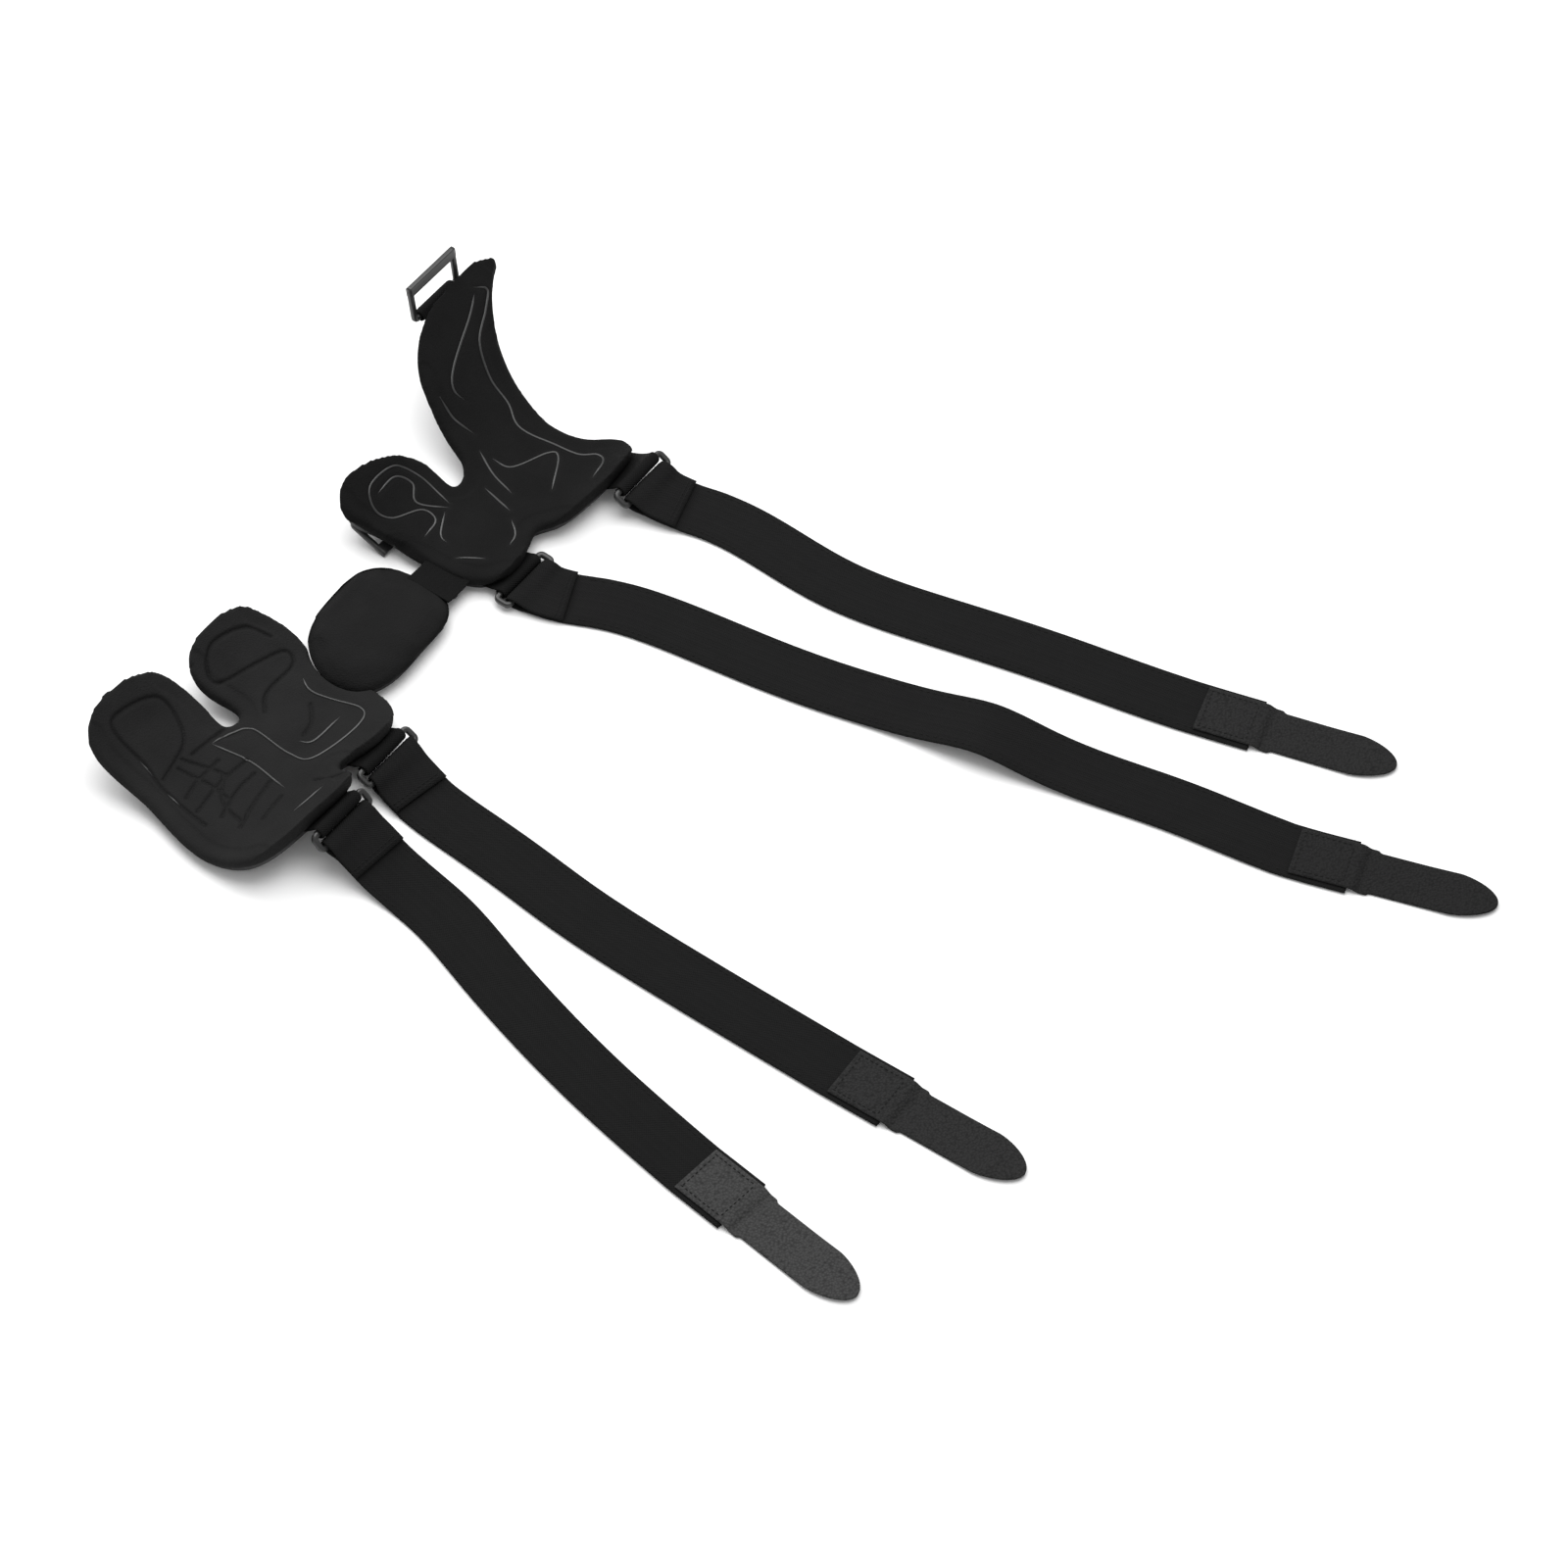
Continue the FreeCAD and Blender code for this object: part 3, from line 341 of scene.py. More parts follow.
class Nodes:
    """Short ways to add and join nodes in one material."""

    def __init__(self, material):
        self.tree = material.node_tree
        self.bsdf = self.tree.nodes["Principled BSDF"]

    def add(self, kind, **values):
        node = self.tree.nodes.new(kind)
        for key, value in values.items():
            if hasattr(node, key):
                setattr(node, key, value)
            else:
                node.inputs[key].default_value = value
        return node

    def join(self, out, into):
        self.tree.links.new(out, into)

    def math(self, operation, one, two=0.0):
        node = self.add("ShaderNodeMath", operation=operation)
        for index, value in enumerate((one, two)):
            if isinstance(value, (int, float)):
                node.inputs[index].default_value = value
            else:
                self.join(value, node.inputs[index])
        return node.outputs[0]

    def place(self):
        return self.add("ShaderNodeTexCoord").outputs["Object"]

    def noise(self, scale, detail=3.0):
        node = self.add("ShaderNodeTexNoise", Scale=scale, Detail=detail)
        self.join(self.place(), node.inputs["Vector"])
        return node.outputs[0]

    def cells(self, scale):
        node = self.add("ShaderNodeTexVoronoi", Scale=scale)
        self.join(self.place(), node.inputs["Vector"])
        return node.outputs["Distance"]

    def attribute(self, name):
        return self.add("ShaderNodeAttribute", attribute_name=name).outputs["Fac"]

    def bump(self, value, strength, distance_m):
        node = self.add("ShaderNodeBump", Strength=strength, Distance=distance_m)
        self.join(value, node.inputs["Height"])
        before = self.bsdf.inputs["Normal"]
        if before.links:
            self.join(before.links[0].from_socket, node.inputs["Normal"])
        self.join(node.outputs["Normal"], before)

    def mix(self, factor, first, second):
        # of the colour kind, inputs 6 and 7 are its two colours and output 2 is the result
        node = self.add("ShaderNodeMix", data_type="RGBA")
        self.join(factor, node.inputs["Factor"])
        for socket, value in ((node.inputs[6], first), (node.inputs[7], second)):
            if isinstance(value, tuple):
                socket.default_value = (*value, 1)
            else:
                self.join(value, socket)
        return node.outputs[2]

    def between(self, value, low, high):
        node = self.add("ShaderNodeMapRange")
        self.join(value, node.inputs["Value"])
        node.inputs["To Min"].default_value = low
        node.inputs["To Max"].default_value = high
        return node.outputs["Result"]


def grey(value):
    return (value, value, value)


def pad_material(name, tone, line_tone, line_roughness):
    """Foam faced with brushed knit; the pressed lines are smoother than the rest."""
    material = shader(name, tone, 0.9, 0.06)
    n = Nodes(material)
    patches = n.mix(n.noise(60.0), grey(tone * 0.75), grey(tone * 1.3))
    line = n.attribute("line")
    n.join(n.mix(line, patches, grey(line_tone)), n.bsdf.inputs["Base Color"])
    n.join(n.between(line, 0.85, line_roughness), n.bsdf.inputs["Roughness"])
    n.bump(n.cells(1500.0), 0.6, 0.0004)
    n.bump(n.noise(350.0, 5.0), 0.4, 0.0005)
    return material


def web_material(name, tone, along_mm, across_mm, stripe_mm=0.0):
    """Woven webbing: picks across it, ends along it and, on elastic, faint stripes."""
    material = shader(name, tone, 0.75, 0.06)
    n = Nodes(material)
    turn = 2 * math.pi
    along = n.math("SINE", n.math("MULTIPLY", n.attribute("along"), turn / along_mm))
    across = n.math("SINE", n.math("MULTIPLY", n.attribute("across"), turn / across_mm))
    weave = n.math("MULTIPLY", along, across)
    mixed = n.mix(n.noise(90.0), grey(tone * 0.8), grey(tone * 1.25))
    fine = n.mix(n.math("ADD", n.math("MULTIPLY", weave, 0.35), 0.35), mixed, grey(tone * 1.7))
    if stripe_mm:
        wave = n.math("SINE", n.math("MULTIPLY", n.attribute("across"), turn / stripe_mm))
        fine = n.mix(n.math("MULTIPLY", wave, 0.10), fine, grey(tone * 2.0))
    n.join(fine, n.bsdf.inputs["Base Color"])
    n.bump(weave, 0.5, 0.0003)
    return material


def hook_material(name, tone):
    """Hook tape: a field of tiny stiff hooks."""
    material = shader(name, tone, 0.75, 0.12)
    n = Nodes(material)
    hooks = n.cells(900.0)
    n.join(n.mix(hooks, grey(tone * 1.5), grey(tone * 0.55)), n.bsdf.inputs["Base Color"])
    n.bump(hooks, 0.8, 0.0005)
    n.bump(n.noise(120.0), 0.15, 0.0006)
    return material


def moulded_material(name, tone, roughness, metallic=0.0):
    """Moulded plastic or painted metal: a fine grain and a little handling wear."""
    material = shader(name, tone, roughness, 0.5)
    n = Nodes(material)
    n.bsdf.inputs["Metallic"].default_value = metallic
    wear = n.noise(45.0, 6.0)
    n.join(n.mix(wear, grey(tone * 0.8), grey(tone * 1.25)), n.bsdf.inputs["Base Color"])
    n.join(n.between(wear, roughness - 0.08, roughness + 0.12), n.bsdf.inputs["Roughness"])
    n.bump(n.noise(900.0, 2.0), 0.12, 0.0002)
    return material


UPPER_FOAM = pad_material("upper_foam", 0.0080, 0.0065, 0.50)
LOWER_FOAM = pad_material("lower_foam", 0.0150, 0.0080, 0.45)
ELBOW_FOAM = pad_material("elbow_foam", 0.0105, 0.0105, 0.90)
ELASTIC = web_material("elastic", 0.0070, 1.3, 1.25, stripe_mm=5.0)
NYLON = web_material("nylon", 0.0050, 1.0, 1.6)
BEAD_GLOSS = moulded_material("bead_gloss", 0.018, 0.28)
THREAD = web_material("thread", 0.010, 0.6, 0.6)
LOOP_PLASTIC = moulded_material("loop_plastic", 0.016, 0.32)
SHELL_PLASTIC = moulded_material("shell_plastic", 0.012, 0.48)
HINGE_METAL = moulded_material("hinge_metal", 0.012, 0.42, 0.6)
RIVET_METAL = moulded_material("rivet_metal", 0.020, 0.38, 0.8)
DOT_TAPE = hook_material("dot_tape", 0.010)
TAB_TAPES = {number: hook_material("tab_tape_%d" % number, tone)
             for number, tone in TAB_TONES.items()}


# -------------------------------------------------------------------- pads

def mesh_points(mesh):
    co = np.zeros(len(mesh.vertices) * 3)
    mesh.vertices.foreach_get("co", co)
    return co.reshape(-1, 3) / MM


def closed_copy(node, name):
    """A copy of a CAD solid's mesh with its split vertices joined."""
    mesh = frame["nodes"][node].data.copy()
    mesh.name = name
    join = bmesh.new()
    join.from_mesh(mesh)
    bmesh.ops.remove_doubles(join, verts=join.verts, dist=1e-6)
    join.to_mesh(mesh)
    join.free()
    mesh.materials.clear()
    obj = bpy.data.objects.new(name, mesh)
    bpy.context.scene.collection.objects.link(obj)
    return obj


def add_block(obj, cuff, rim, far_y, low, high):
    """Join a closed block to a pad: it follows the pad's layer between a rim and a far y."""
    rows = []
    for x, y in rim:
        z_low, z_high = surface(cuff, x, low)[0], surface(cuff, x, high)[0]
        rows.append([(x, y, z_low), (x, far_y, z_low), (x, far_y, z_high), (x, y, z_high)])
    block = make_object("block", np.vstack(rows), rings_to_faces(len(rows), 4), None)
    both = bmesh.new()
    both.from_mesh(obj.data)
    both.from_mesh(block.data)
    both.to_mesh(obj.data)
    both.free()
    bpy.data.objects.remove(block)


def apply_modifiers(obj):
    bpy.context.view_layer.update()
    made = bpy.data.meshes.new_from_object(
        obj.evaluated_get(bpy.context.evaluated_depsgraph_get()))
    obj.modifiers.clear()
    obj.data = made


def wall_distance(node, cuff, points):
    """How far points are from the side walls of a pad's solid."""
    mesh = frame["nodes"][node].data
    mesh.calc_loop_triangles()
    co = mesh_points(mesh)
    triangles = [t.vertices[:] for t in mesh.loop_triangles]
    corners = co[np.array(triangles)]
    face_normals = np.cross(corners[:, 1] - corners[:, 0], corners[:, 2] - corners[:, 0])
    face_normals /= np.maximum(np.linalg.norm(face_normals, axis=1, keepdims=True), 1e-12)
    layer_normals = heights(cuff, corners.mean(1))[1]
    is_wall = np.abs((face_normals * layer_normals).sum(1)) < WALL_TILT
    walls = [t for t, wall in zip(triangles, is_wall) if wall]
    tree = BVHTree.FromPolygons([Vector(p) for p in co], walls)
    return np.array([tree.find_nearest(Vector(p))[3] for p in points])


def line_distance(lines, points):
    """How far points are, in plan, from the nearest of some smooth lines."""
    samples = np.vstack([smooth_line(line, 0.4) for line in lines])
    tree = KDTree(len(samples))
    for index, (x, y) in enumerate(samples):
        tree.insert(Vector((x, y, 0)), index)
    tree.balance()
    return np.array([tree.find(Vector((x, y, 0)))[2] for x, y, _ in points])


def inflate(obj, limit):
    """Swell a closed mesh a little with air pressure, each point by at most a limit."""
    before = mesh_points(obj.data)
    cloth = obj.modifiers.new("Cloth", "CLOTH")
    cloth.settings.use_pressure = True
    cloth.settings.uniform_pressure_force = SWELL_PRESSURE
    cloth.settings.effector_weights.gravity = 0.0
    scene = bpy.context.scene
    for number in range(1, SWELL_FRAMES + 1):
        scene.frame_set(number)
    apply_modifiers(obj)
    scene.frame_set(1)
    move = mesh_points(obj.data) - before
    length = np.linalg.norm(move, axis=1, keepdims=True)
    move *= np.minimum(1.0, limit / np.maximum(length, 1e-9))
    obj.data.vertices.foreach_set("co", ((before + move) * MM).ravel())


def make_pad(node, cuff, material, voxel, lines=(), line_height=0.0, line_width=0.9,
             panel=0.0, crown=0.0, high=PAD_HIGH, swell=0.0, flank=()):
    """A pad with rounded edges, a raised panel or a crown, and welded lines."""
    obj = closed_copy(node, node + "_foam")
    if flank:
        add_block(obj, cuff, smooth_line(flank, 1.5), FLANK_FAR_Y, PAD_LOW, high)
    remesh = obj.modifiers.new("Remesh", "REMESH")
    remesh.mode = "VOXEL"
    remesh.voxel_size = voxel * MM
    soften = obj.modifiers.new("Soften", "SMOOTH")
    soften.factor = 0.5
    soften.iterations = 9
    apply_modifiers(obj)
    if swell:
        inflate(obj, swell)
    refine = obj.modifiers.new("Refine", "SUBSURF")
    refine.levels = refine.render_levels = 1
    apply_modifiers(obj)
    points = mesh_points(obj.data)
    height, normal = heights(cuff, points)
    middle = (PAD_LOW + high) / 2
    top = smoothstep((height - middle + 0.5) / (high - middle - 0.5))
    bottom = 1 - smoothstep((height - PAD_LOW) / (middle - PAD_LOW))
    edge = wall_distance(node, cuff, points)
    near = 1 - np.clip(edge / EDGE_ROUNDING, 0, 1)
    rounding = 1 - np.sqrt(1 - near ** 2)
    lift = -TOP_ROUNDING * rounding * top + BOTTOM_ROUNDING * rounding * bottom
    lift += panel * smoothstep((edge - PANEL_BORDER) / PANEL_STEP) * top
    lift -= crown * (1 - np.clip(edge / CROWN_REACH, 0, 1)) ** 2 * top
    waves = np.sin(points[:, 0] * 0.21 + 1.0) * np.sin(points[:, 1] * 0.17)
    lift += WAVE_HEIGHT * waves * top
    line = np.zeros(len(points))
    if lines:
        line = np.exp(-(line_distance(lines, points) / line_width) ** 2) * top
        lift += line_height * line
    points += normal * lift[:, None]
    obj.data.vertices.foreach_set("co", (points * MM).ravel())
    obj.data.attributes.new("line", "FLOAT", "POINT").data.foreach_set(
        "value", line.astype(np.float32))
    obj.data.polygons.foreach_set("use_smooth", [True] * len(obj.data.polygons))
    obj.data.materials.append(material)
    obj.data.update()
    finish_piece(obj, BODY_OF[cuff], "pad_foam", node)
    return obj


def make_beads(name, pad, cuff, lines):
    """Thin glossy beads moulded along lines on the skin side of a pad."""
    tree = BVHTree.FromObject(pad, bpy.context.evaluated_depsgraph_get())
    vertices, faces = [], []
    for line in lines:
        centres, normals = [], []
        for x, y in smooth_line(line, 0.8):
            place, normal, _, _ = tree.ray_cast(Vector((x, y, 200.0)) * MM, Vector((0, 0, -1)))
            if place is not None:
                centres.append(np.array(place) / MM)
                normals.append(np.array(normal))
        centres, normals = np.array(centres), np.array(normals)
        tangents = unit(np.gradient(centres, axis=0))
        sides = unit(np.cross(normals, tangents))
        run = np.linspace(0, 1, len(centres))
        swell = np.clip(np.minimum(run, 1 - run) * len(centres) / 6, 0.15, 1.0)
        base = len(vertices)
        for centre, side, normal, grow in zip(centres, sides, normals, swell):
            for a in np.linspace(0, 2 * math.pi, BEAD_SIDES, endpoint=False):
                vertices.append(centre + side * BEAD_HALF_WIDTH * grow * math.cos(a)
                                + normal * BEAD_HALF_HEIGHT * grow * (math.sin(a) + 0.2))
        faces += [tuple(base + j for j in face)
                  for face in rings_to_faces(len(centres), BEAD_SIDES)]
    obj = make_object(name, vertices, faces, BEAD_GLOSS)
    finish_piece(obj, BODY_OF[cuff], "pad_foam")


def make_neck():
    """The strip of black fabric that covers the hinge between the elbow and the upper arm."""
    hinge = joint_place("elbow_fold")
    stations = smooth_line(NECK_STATIONS, 0.5)
    centres = np.array([(hinge[0], hinge[1] + along, hinge[2] + up) for along, up in stations])
    tangents = unit(np.gradient(centres, axis=0))
    sides = np.tile((1.0, 0.0, 0.0), (len(centres), 1))
    normals = np.cross(sides, tangents)
    obj = ribbon("elbow_neck_woven", centres, sides, normals, NECK_WIDTH, NECK_THICKNESS, NYLON,
                 ribs=0.05)
    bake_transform(obj)


# ------------------------------------------------------------------ straps

def joint_place(name):
    return [p / MM for p in next(j for j in frame["joints"] if j["name"] == name)["pos_m"]]


def outer_bar(number):
    """The x and z of the bar of a ring that its band folds round."""
    low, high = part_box("strap_ring_%d" % number)
    return high.x / MM - BAR_RADIUS, low.z / MM + BAR_RADIUS


def band_route(number, start):
    """The middle line of a band's solid, from its bar to its end under the tab."""
    mesh = frame["nodes"]["elastic_band_%d" % number].data
    co = mesh_points(mesh)
    ends = co[np.array([e.vertices[:] for e in mesh.edges])]
    tab_x, tab_y, angle = TABS[number]
    route = [start]
    last = co[:, 0].max() - 0.6
    for x in np.linspace(start[0] + 6.0, last, int((last - start[0]) / 5)):
        a, b = ends[:, 0], ends[:, 1]
        crosses = (a[:, 0] - x) * (b[:, 0] - x) < 0
        a, b = a[crosses], b[crosses]
        t = ((x - a[:, 0]) / (b[:, 0] - a[:, 0]))[:, None]
        hits = a + (b - a) * t
        low, high = hits.min(0), hits.max(0)
        if x < tab_x:
            route.append((x, (low[1] + high[1]) / 2, (low[2] + high[2]) / 2))
    turn = math.radians(angle)
    for reach in (0.35, 1.0):
        route.append((tab_x + PATCH_LENGTH * reach * math.cos(turn),
                      tab_y + PATCH_LENGTH * reach * math.sin(turn), route[-1][2]))
    return smooth_line(route, 1.5)


def make_band(number):
    """An elastic band, folded over its bar and sewn down on itself."""
    bar_x, bar_z = outer_bar(number)
    low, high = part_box("strap_ring_%d" % number)
    route = band_route(number, (bar_x, (low.y + high.y) / 2 / MM, bar_z))
    run = np.concatenate([[0], np.cumsum(np.linalg.norm(np.diff(route, axis=0), axis=1))])
    tangent = unit(np.gradient(route, axis=0))
    level = unit(np.cross((0, 0, 1), tangent))
    turned = smoothstep(run / FOLD_SETTLE)[:, None]
    side = unit(level * turned + np.array((0, 1, 0)) * (1 - turned))
    normal = unit(np.cross(tangent, side))
    # half the distance between the plies: wide at the bar, then ply on ply
    spread = BAND_WRAP + (BAND_THICKNESS / 2 - BAND_WRAP) * smoothstep((run - 2.0) / 7.0)
    flap = np.flatnonzero((run > PLY_START) & (run < FOLD_END))[::-1]
    main = np.flatnonzero(run > PLY_START)
    settle = 1 - smoothstep((run - FOLD_END) / FOLD_SETTLE)
    over = route[flap] + normal[flap] * spread[flap, None]
    over[:, 2] = np.maximum(over[:, 2], OVER_PLY)
    under = route[main] - normal[main] * (spread * settle)[main, None]
    under[:, 2] = np.maximum(under[:, 2], UNDER_PLY)
    angles = np.radians(np.linspace(100, 260, 13))
    radial = np.cos(angles)[:, None] * tangent[0] + np.sin(angles)[:, None] * normal[0]
    centres = np.vstack([over, route[0] + radial * BAND_WRAP, under])
    sides = np.vstack([side[flap], np.tile((0.0, 1.0, 0.0), (len(angles), 1)), side[main]])
    normals = np.vstack([normal[flap], radial, -normal[main]])
    body = "strap_%d" % number
    obj = ribbon("elastic_band_%d_woven" % number, centres, sides, normals, BAND_WIDTH,
                 BAND_THICKNESS, ELASTIC, ribs=0.07)
    finish_piece(obj, body, "elastic_webbing", "elastic_band_%d" % number)

    places, ways, ups = [], [], []
    top = BAND_THICKNESS / 2 + 0.1
    for offset in (-LONG_SEAM, LONG_SEAM):
        for distance in np.arange(FOLD_END + 4, run[-1] - PATCH_LENGTH, LONG_PITCH):
            i = int(np.searchsorted(run, distance))
            base = route[i] - normal[i] * spread[i] * settle[i]
            base[2] = max(base[2], UNDER_PLY)
            places.append(base + side[i] * offset + normal[i] * top)
            ways.append(tangent[i])
            ups.append(normal[i])
    for distance in (FOLD_END - 4.0, FOLD_END - 6.2):
        i = int(np.searchsorted(run, distance))
        base = route[i] + normal[i] * spread[i]
        base[2] = max(base[2], OVER_PLY)
        for offset in np.arange(-CROSS_SEAM, CROSS_SEAM + 0.1, CROSS_PITCH):
            places.append(base + side[i] * offset + normal[i] * top)
            ways.append(side[i])
            ups.append(normal[i])
    seam = stitches("band_%d_seams" % number, places, ways, ups, BAND_STITCH, BAND_THREAD, THREAD)
    finish_piece(seam, body, "thread")


def make_ring(number):
    hinge = joint_place("strap_%d_lift" % number)
    bar_x, bar_z = outer_bar(number)
    turn = math.degrees(math.atan2(hinge[2] - bar_z, bar_x - hinge[0]))
    obj = bar_frame("ring_%d_moulded" % number, (hinge[0], hinge[2]), turn, hinge[1],
                    RING_LENGTH, RING_REACH, LOOP_PLASTIC)
    finish_piece(obj, "strap_%d" % number, "loop_plastic", "strap_ring_%d" % number)


def make_loop(number):
    hinge = joint_place("loop_%d_swing" % number)
    obj = bar_frame("loop_%d_moulded" % number, (hinge[0], hinge[2]), LOOP_TURN[number],
                    hinge[1], LOOP_LENGTH, LOOP_REACH, LOOP_PLASTIC)
    finish_piece(obj, "loop_%d" % number, "loop_plastic", "strap_loop_%d" % number)
    turn = math.radians(LOOP_TURN[number])
    way = np.array((math.cos(turn), 0, -math.sin(turn)))
    middle = np.array(hinge) + way * (LOOP_REACH + BAR_RADIUS - LOOP_PLATE_WIDTH / 2)
    spots = np.linspace(-LOOP_LENGTH / 2 + 0.4, LOOP_LENGTH / 2 - 0.4, 24)
    centres = middle + spots[:, None] * np.array((0, 1, 0))
    normals = np.tile((math.sin(turn), 0, math.cos(turn)), (len(spots), 1))
    plate = ribbon("loop_%d_plate" % number, centres, np.tile(way, (len(spots), 1)), normals,
                   LOOP_PLATE_WIDTH - 0.1, 2 * BAR_RADIUS - 0.1, LOOP_PLASTIC)
    finish_piece(plate, "loop_%d" % number, "loop_plastic")


def make_sling(node, number, joint, way, tail, height, width):
    """Webbing that lies in its layer and turns round a hinge bar; way is its tail's side."""
    cuff = CUFF_OF[number]
    hinge = joint_place(joint)
    centres, normals = [], []
    for x in hinge[0] + way * np.linspace(tail, SLING_PULL, 10):
        z, (nx, nz) = surface(cuff, x, height)
        centres.append((x, hinge[1], z))
        normals.append((nx, 0, nz))
    nx, nz = normals[-1][0], normals[-1][2]
    up = math.degrees(math.atan2(nz, nx))
    wrap = BAR_RADIUS + SLING_WRAP_GAP + SLING_THICKNESS / 2
    for angle in np.radians(up + way * np.linspace(10, 290, 24)):
        radial = (math.cos(angle), 0, math.sin(angle))
        centres.append((hinge[0] + wrap * radial[0], hinge[1], hinge[2] + wrap * radial[2]))
        normals.append(radial)
    sides = np.tile((0.0, 1.0, 0.0), (len(centres), 1))
    obj = ribbon(node + "_woven", np.array(centres), sides, np.array(normals), width - 0.4,
                 SLING_THICKNESS - 0.15, NYLON, ribs=0.05, pitch=1.6)
    finish_piece(obj, BODY_OF[cuff], "sling_webbing", node)


def tab_half_width(u):
    """Half the width of a hook tab, a distance from the start of its patch."""
    start = PATCH_LENGTH + SHOULDER - 2.0
    narrow = smoothstep((u - start) / 2.0)
    half = PATCH_WIDTH / 2 + (TONGUE_WIDTH - PATCH_WIDTH) / 2 * narrow
    nose = np.clip((u - (TAB_LENGTH - NOSE_LENGTH)) / NOSE_LENGTH, 0, 1)
    return half * np.sqrt(np.maximum(1 - nose ** 1.5, 0.002))


def make_tab(number):
    x, y, angle = TABS[number]
    angle = math.radians(angle)
    way = np.array((math.cos(angle), math.sin(angle), 0))
    side = np.array((-math.sin(angle), math.cos(angle), 0))
    u = np.concatenate([np.arange(0, TAB_LENGTH - 6, 0.9),
                        np.linspace(TAB_LENGTH - 6, TAB_LENGTH, 22)])
    drop = smoothstep((u - PATCH_LENGTH - STEP_START) / STEP_LENGTH)
    curl = CURL * smoothstep((u - CURL_START) / CURL_LENGTH)
    z = PATCH_Z + (TONGUE_Z - PATCH_Z) * drop + curl
    centres = np.array((x, y, 0)) + u[:, None] * way + z[:, None] * np.array((0, 0, 1))
    tangent = unit(np.gradient(centres, axis=0))
    normals = np.cross(tangent, side)
    obj = ribbon("hook_tab_%d_tape" % number, centres, np.tile(side, (len(u), 1)), normals,
                 2 * tab_half_width(u), TAB_THICKNESS, TAB_TAPES[number])
    finish_piece(obj, "strap_%d" % number, "hook_tape", "hook_tab_%d" % number)

    places, ways = [], []
    half = PATCH_WIDTH / 2 - SEAM_MARGIN
    origin = np.array((x, y, PATCH_Z + TAB_THICKNESS / 2 + 0.05))
    for v in (-half, half):
        for a in np.arange(SEAM_MARGIN, PATCH_LENGTH - SEAM_MARGIN + 0.1, SEAM_PITCH):
            places.append(origin + way * a + side * v)
            ways.append(way)
    for a in (SEAM_MARGIN, PATCH_LENGTH - SEAM_MARGIN):
        for v in np.arange(-half + SEAM_PITCH / 2, half, SEAM_PITCH):
            places.append(origin + way * a + side * v)
            ways.append(side)
    thread = stitches("tab_%d_seam" % number, places, ways, np.tile((0, 0, 1.0), (len(places), 1)),
                      TAB_STITCH, TAB_THREAD, THREAD)
    finish_piece(thread, "strap_%d" % number, "thread", "tab_stitching_%d" % number)


# ---------------------------------------------------------- carried-over CAD

def dress_cad_nodes():
    """Give the CAD nodes whose shape is right their materials; the first word found counts."""
    words = (("shell", SHELL_PLASTIC), ("elbow_cup_rivets", RIVET_METAL),
             ("elbow_cup", SHELL_PLASTIC), ("rivets", RIVET_METAL), ("hinge", HINGE_METAL),
             ("dots", DOT_TAPE))
    for name, obj in frame["nodes"].items():
        for word, material in words:
            if word in name:
                obj.data.materials.clear()
                obj.data.materials.append(material)
                break


# ----------------------------------------------------------- floor and light

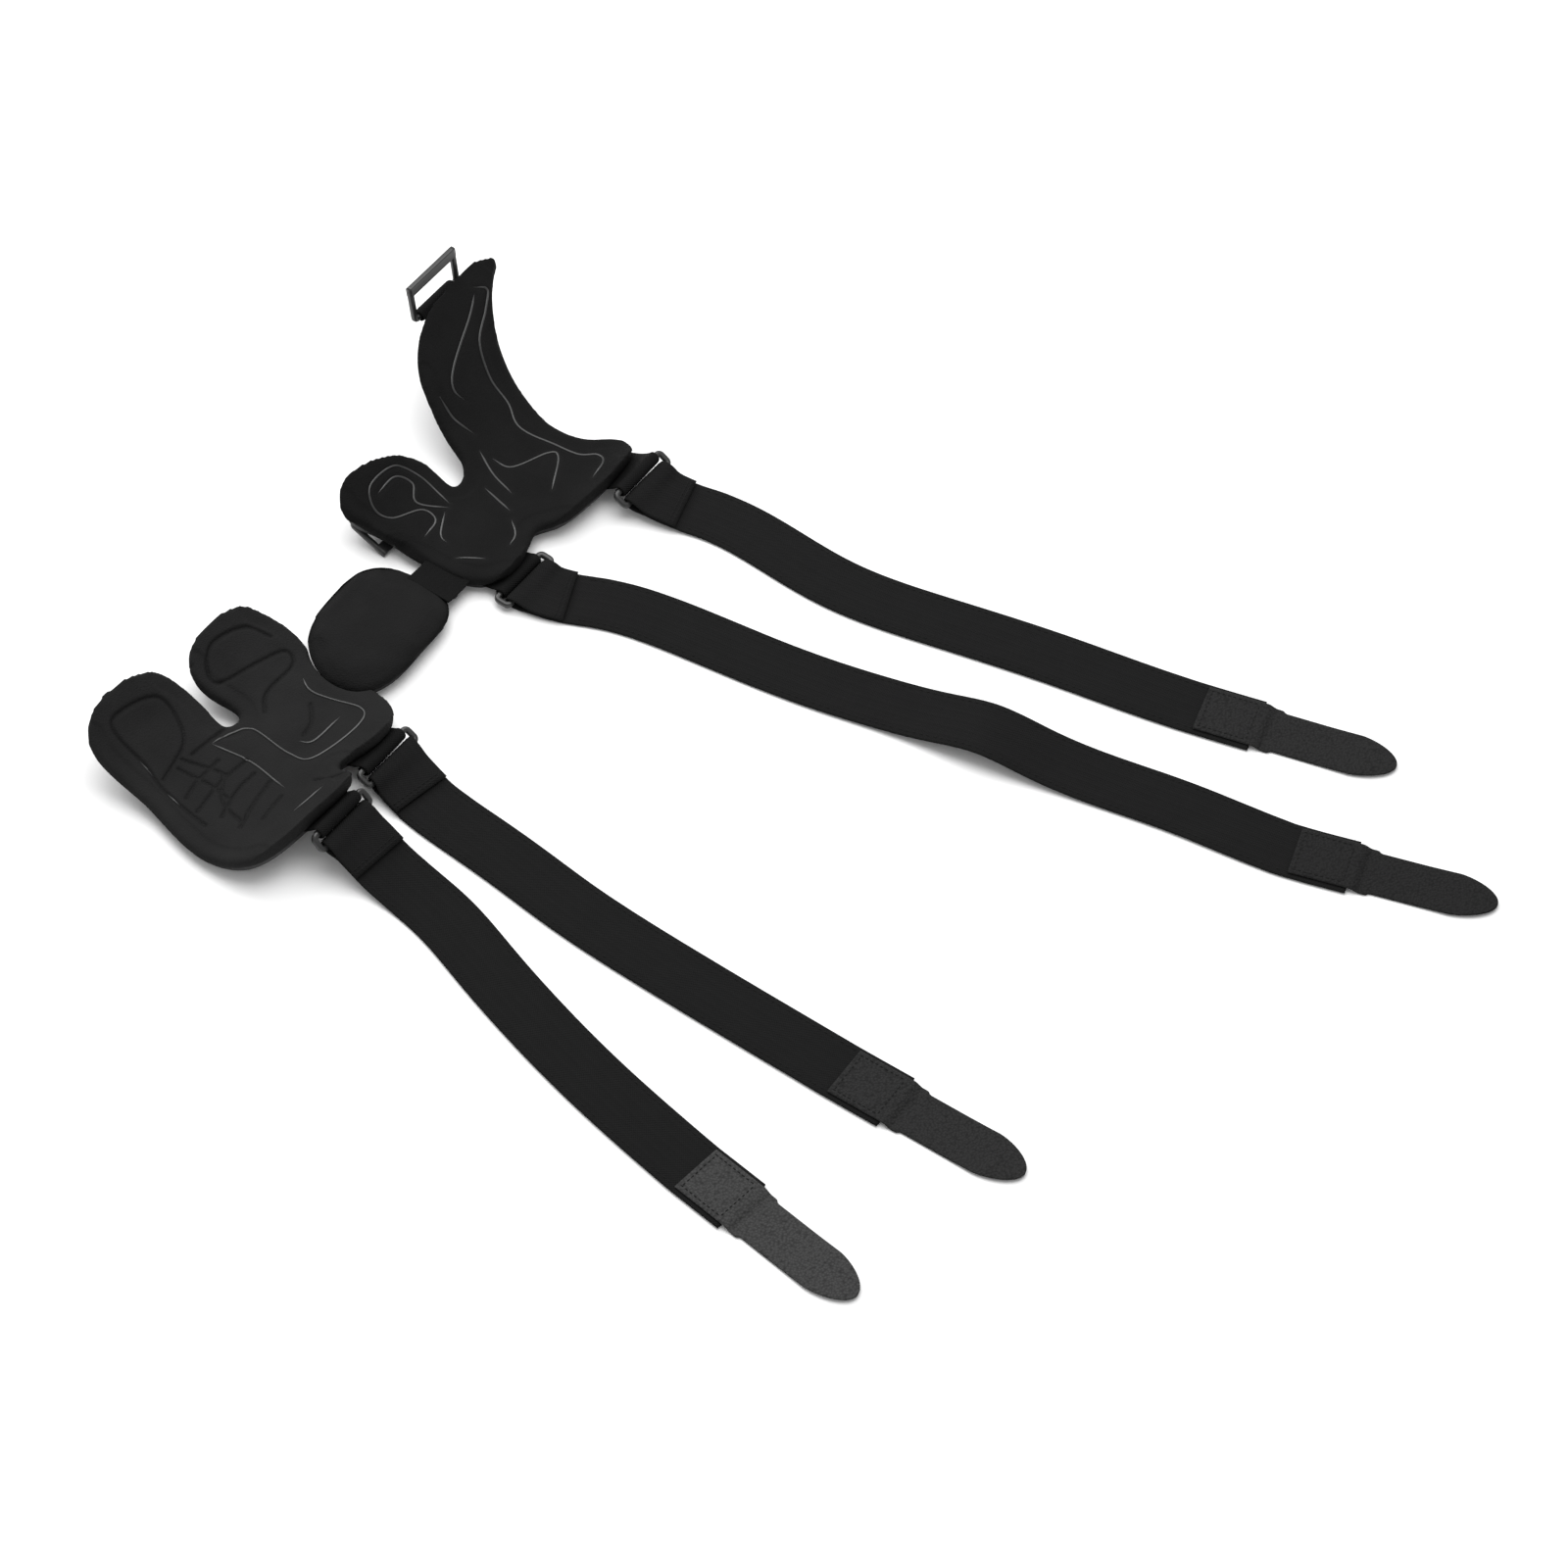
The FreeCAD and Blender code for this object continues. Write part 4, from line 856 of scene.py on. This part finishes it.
def make_stage():
    half = FLOOR_HALF
    floor = make_object("floor", [(-half, -half, 0), (half, -half, 0), (half, half, 0),
                                  (-half, half, 0)], [(0, 1, 2, 3)],
                        shader("floor", FLOOR_TONE, 0.9, 0.1), smooth=False)
    world = bpy.data.worlds.new("studio")
    world.use_nodes = True
    world.node_tree.nodes["Background"].inputs["Color"].default_value = (1, 1, 1, 1)
    world.node_tree.nodes["Background"].inputs["Strength"].default_value = WORLD_STRENGTH
    bpy.context.scene.world = world
    for name, place, width_m, watts in LAMPS:
        light = bpy.data.lights.new(name, "AREA")
        light.size = width_m
        light.energy = watts
        lamp = bpy.data.objects.new(name, light)
        lamp.location = place
        lamp.rotation_euler = (-Vector(place)).to_track_quat("-Z", "Y").to_euler()
        bpy.context.scene.collection.objects.link(lamp)


def make_camera():
    azimuth, elevation = math.radians(CAMERA_AZIMUTH), math.radians(CAMERA_ELEVATION)
    back = Vector((math.sin(azimuth) * math.cos(elevation),
                   -math.cos(azimuth) * math.cos(elevation), math.sin(elevation)))
    data = bpy.data.cameras.new("camera")
    data.lens = CAMERA_LENS
    data.sensor_width = SENSOR_WIDTH
    camera = bpy.data.objects.new("camera", data)
    camera.location = Vector(CAMERA_TARGET_M) + back * CAMERA_DISTANCE_M
    camera.rotation_euler = (-back).to_track_quat("-Z", "Y").to_euler()
    bpy.context.scene.collection.objects.link(camera)
    bpy.context.scene.camera = camera


make_camera()
make_stage()
dress_cad_nodes()
upper_pad = make_pad("upper_arm_pad", "upper", UPPER_FOAM, voxel=1.0, lines=UPPER_LINES,
                     line_height=-0.3, line_width=1.4, panel=0.5, flank=LOBE_FLANK)
make_beads("upper_arm_pad_beads", upper_pad, "upper", UPPER_LINES)
lower_pad = make_pad("forearm_pad", "forearm", LOWER_FOAM, voxel=1.0,
                     lines=LOWER_GROOVES, line_height=-0.95, panel=0.7)
make_beads("forearm_pad_beads", lower_pad, "forearm", LOWER_BEADS)
make_pad("elbow_pad", "forearm", ELBOW_FOAM, voxel=1.6, crown=3.6,
         high=ELBOW_PAD_HIGH, swell=0.8)
make_neck()
for number in NUMBERS:
    make_ring(number)
    make_band(number)
    make_tab(number)
    make_loop(number)
    make_sling("ring_sling_%d" % number, number, "strap_%d_lift" % number, -1, SLING_TAIL,
               INNER_SLING_HEIGHT, RING_SLING_WIDTH)
    if number == 1:
        make_sling("loop_sling_1", 1, "loop_1_swing", 1, SLING_TAIL, INNER_SLING_HEIGHT,
                   LOOP_SLING_WIDTH)
    else:
        make_sling("loop_sling_%d" % number, number, "loop_%d_swing" % number, 1,
                   UNDER_SLING_TAIL, UNDER_SLING_HEIGHT, LOOP_SLING_WIDTH)
bpy.context.scene.view_settings.view_transform = "Standard"
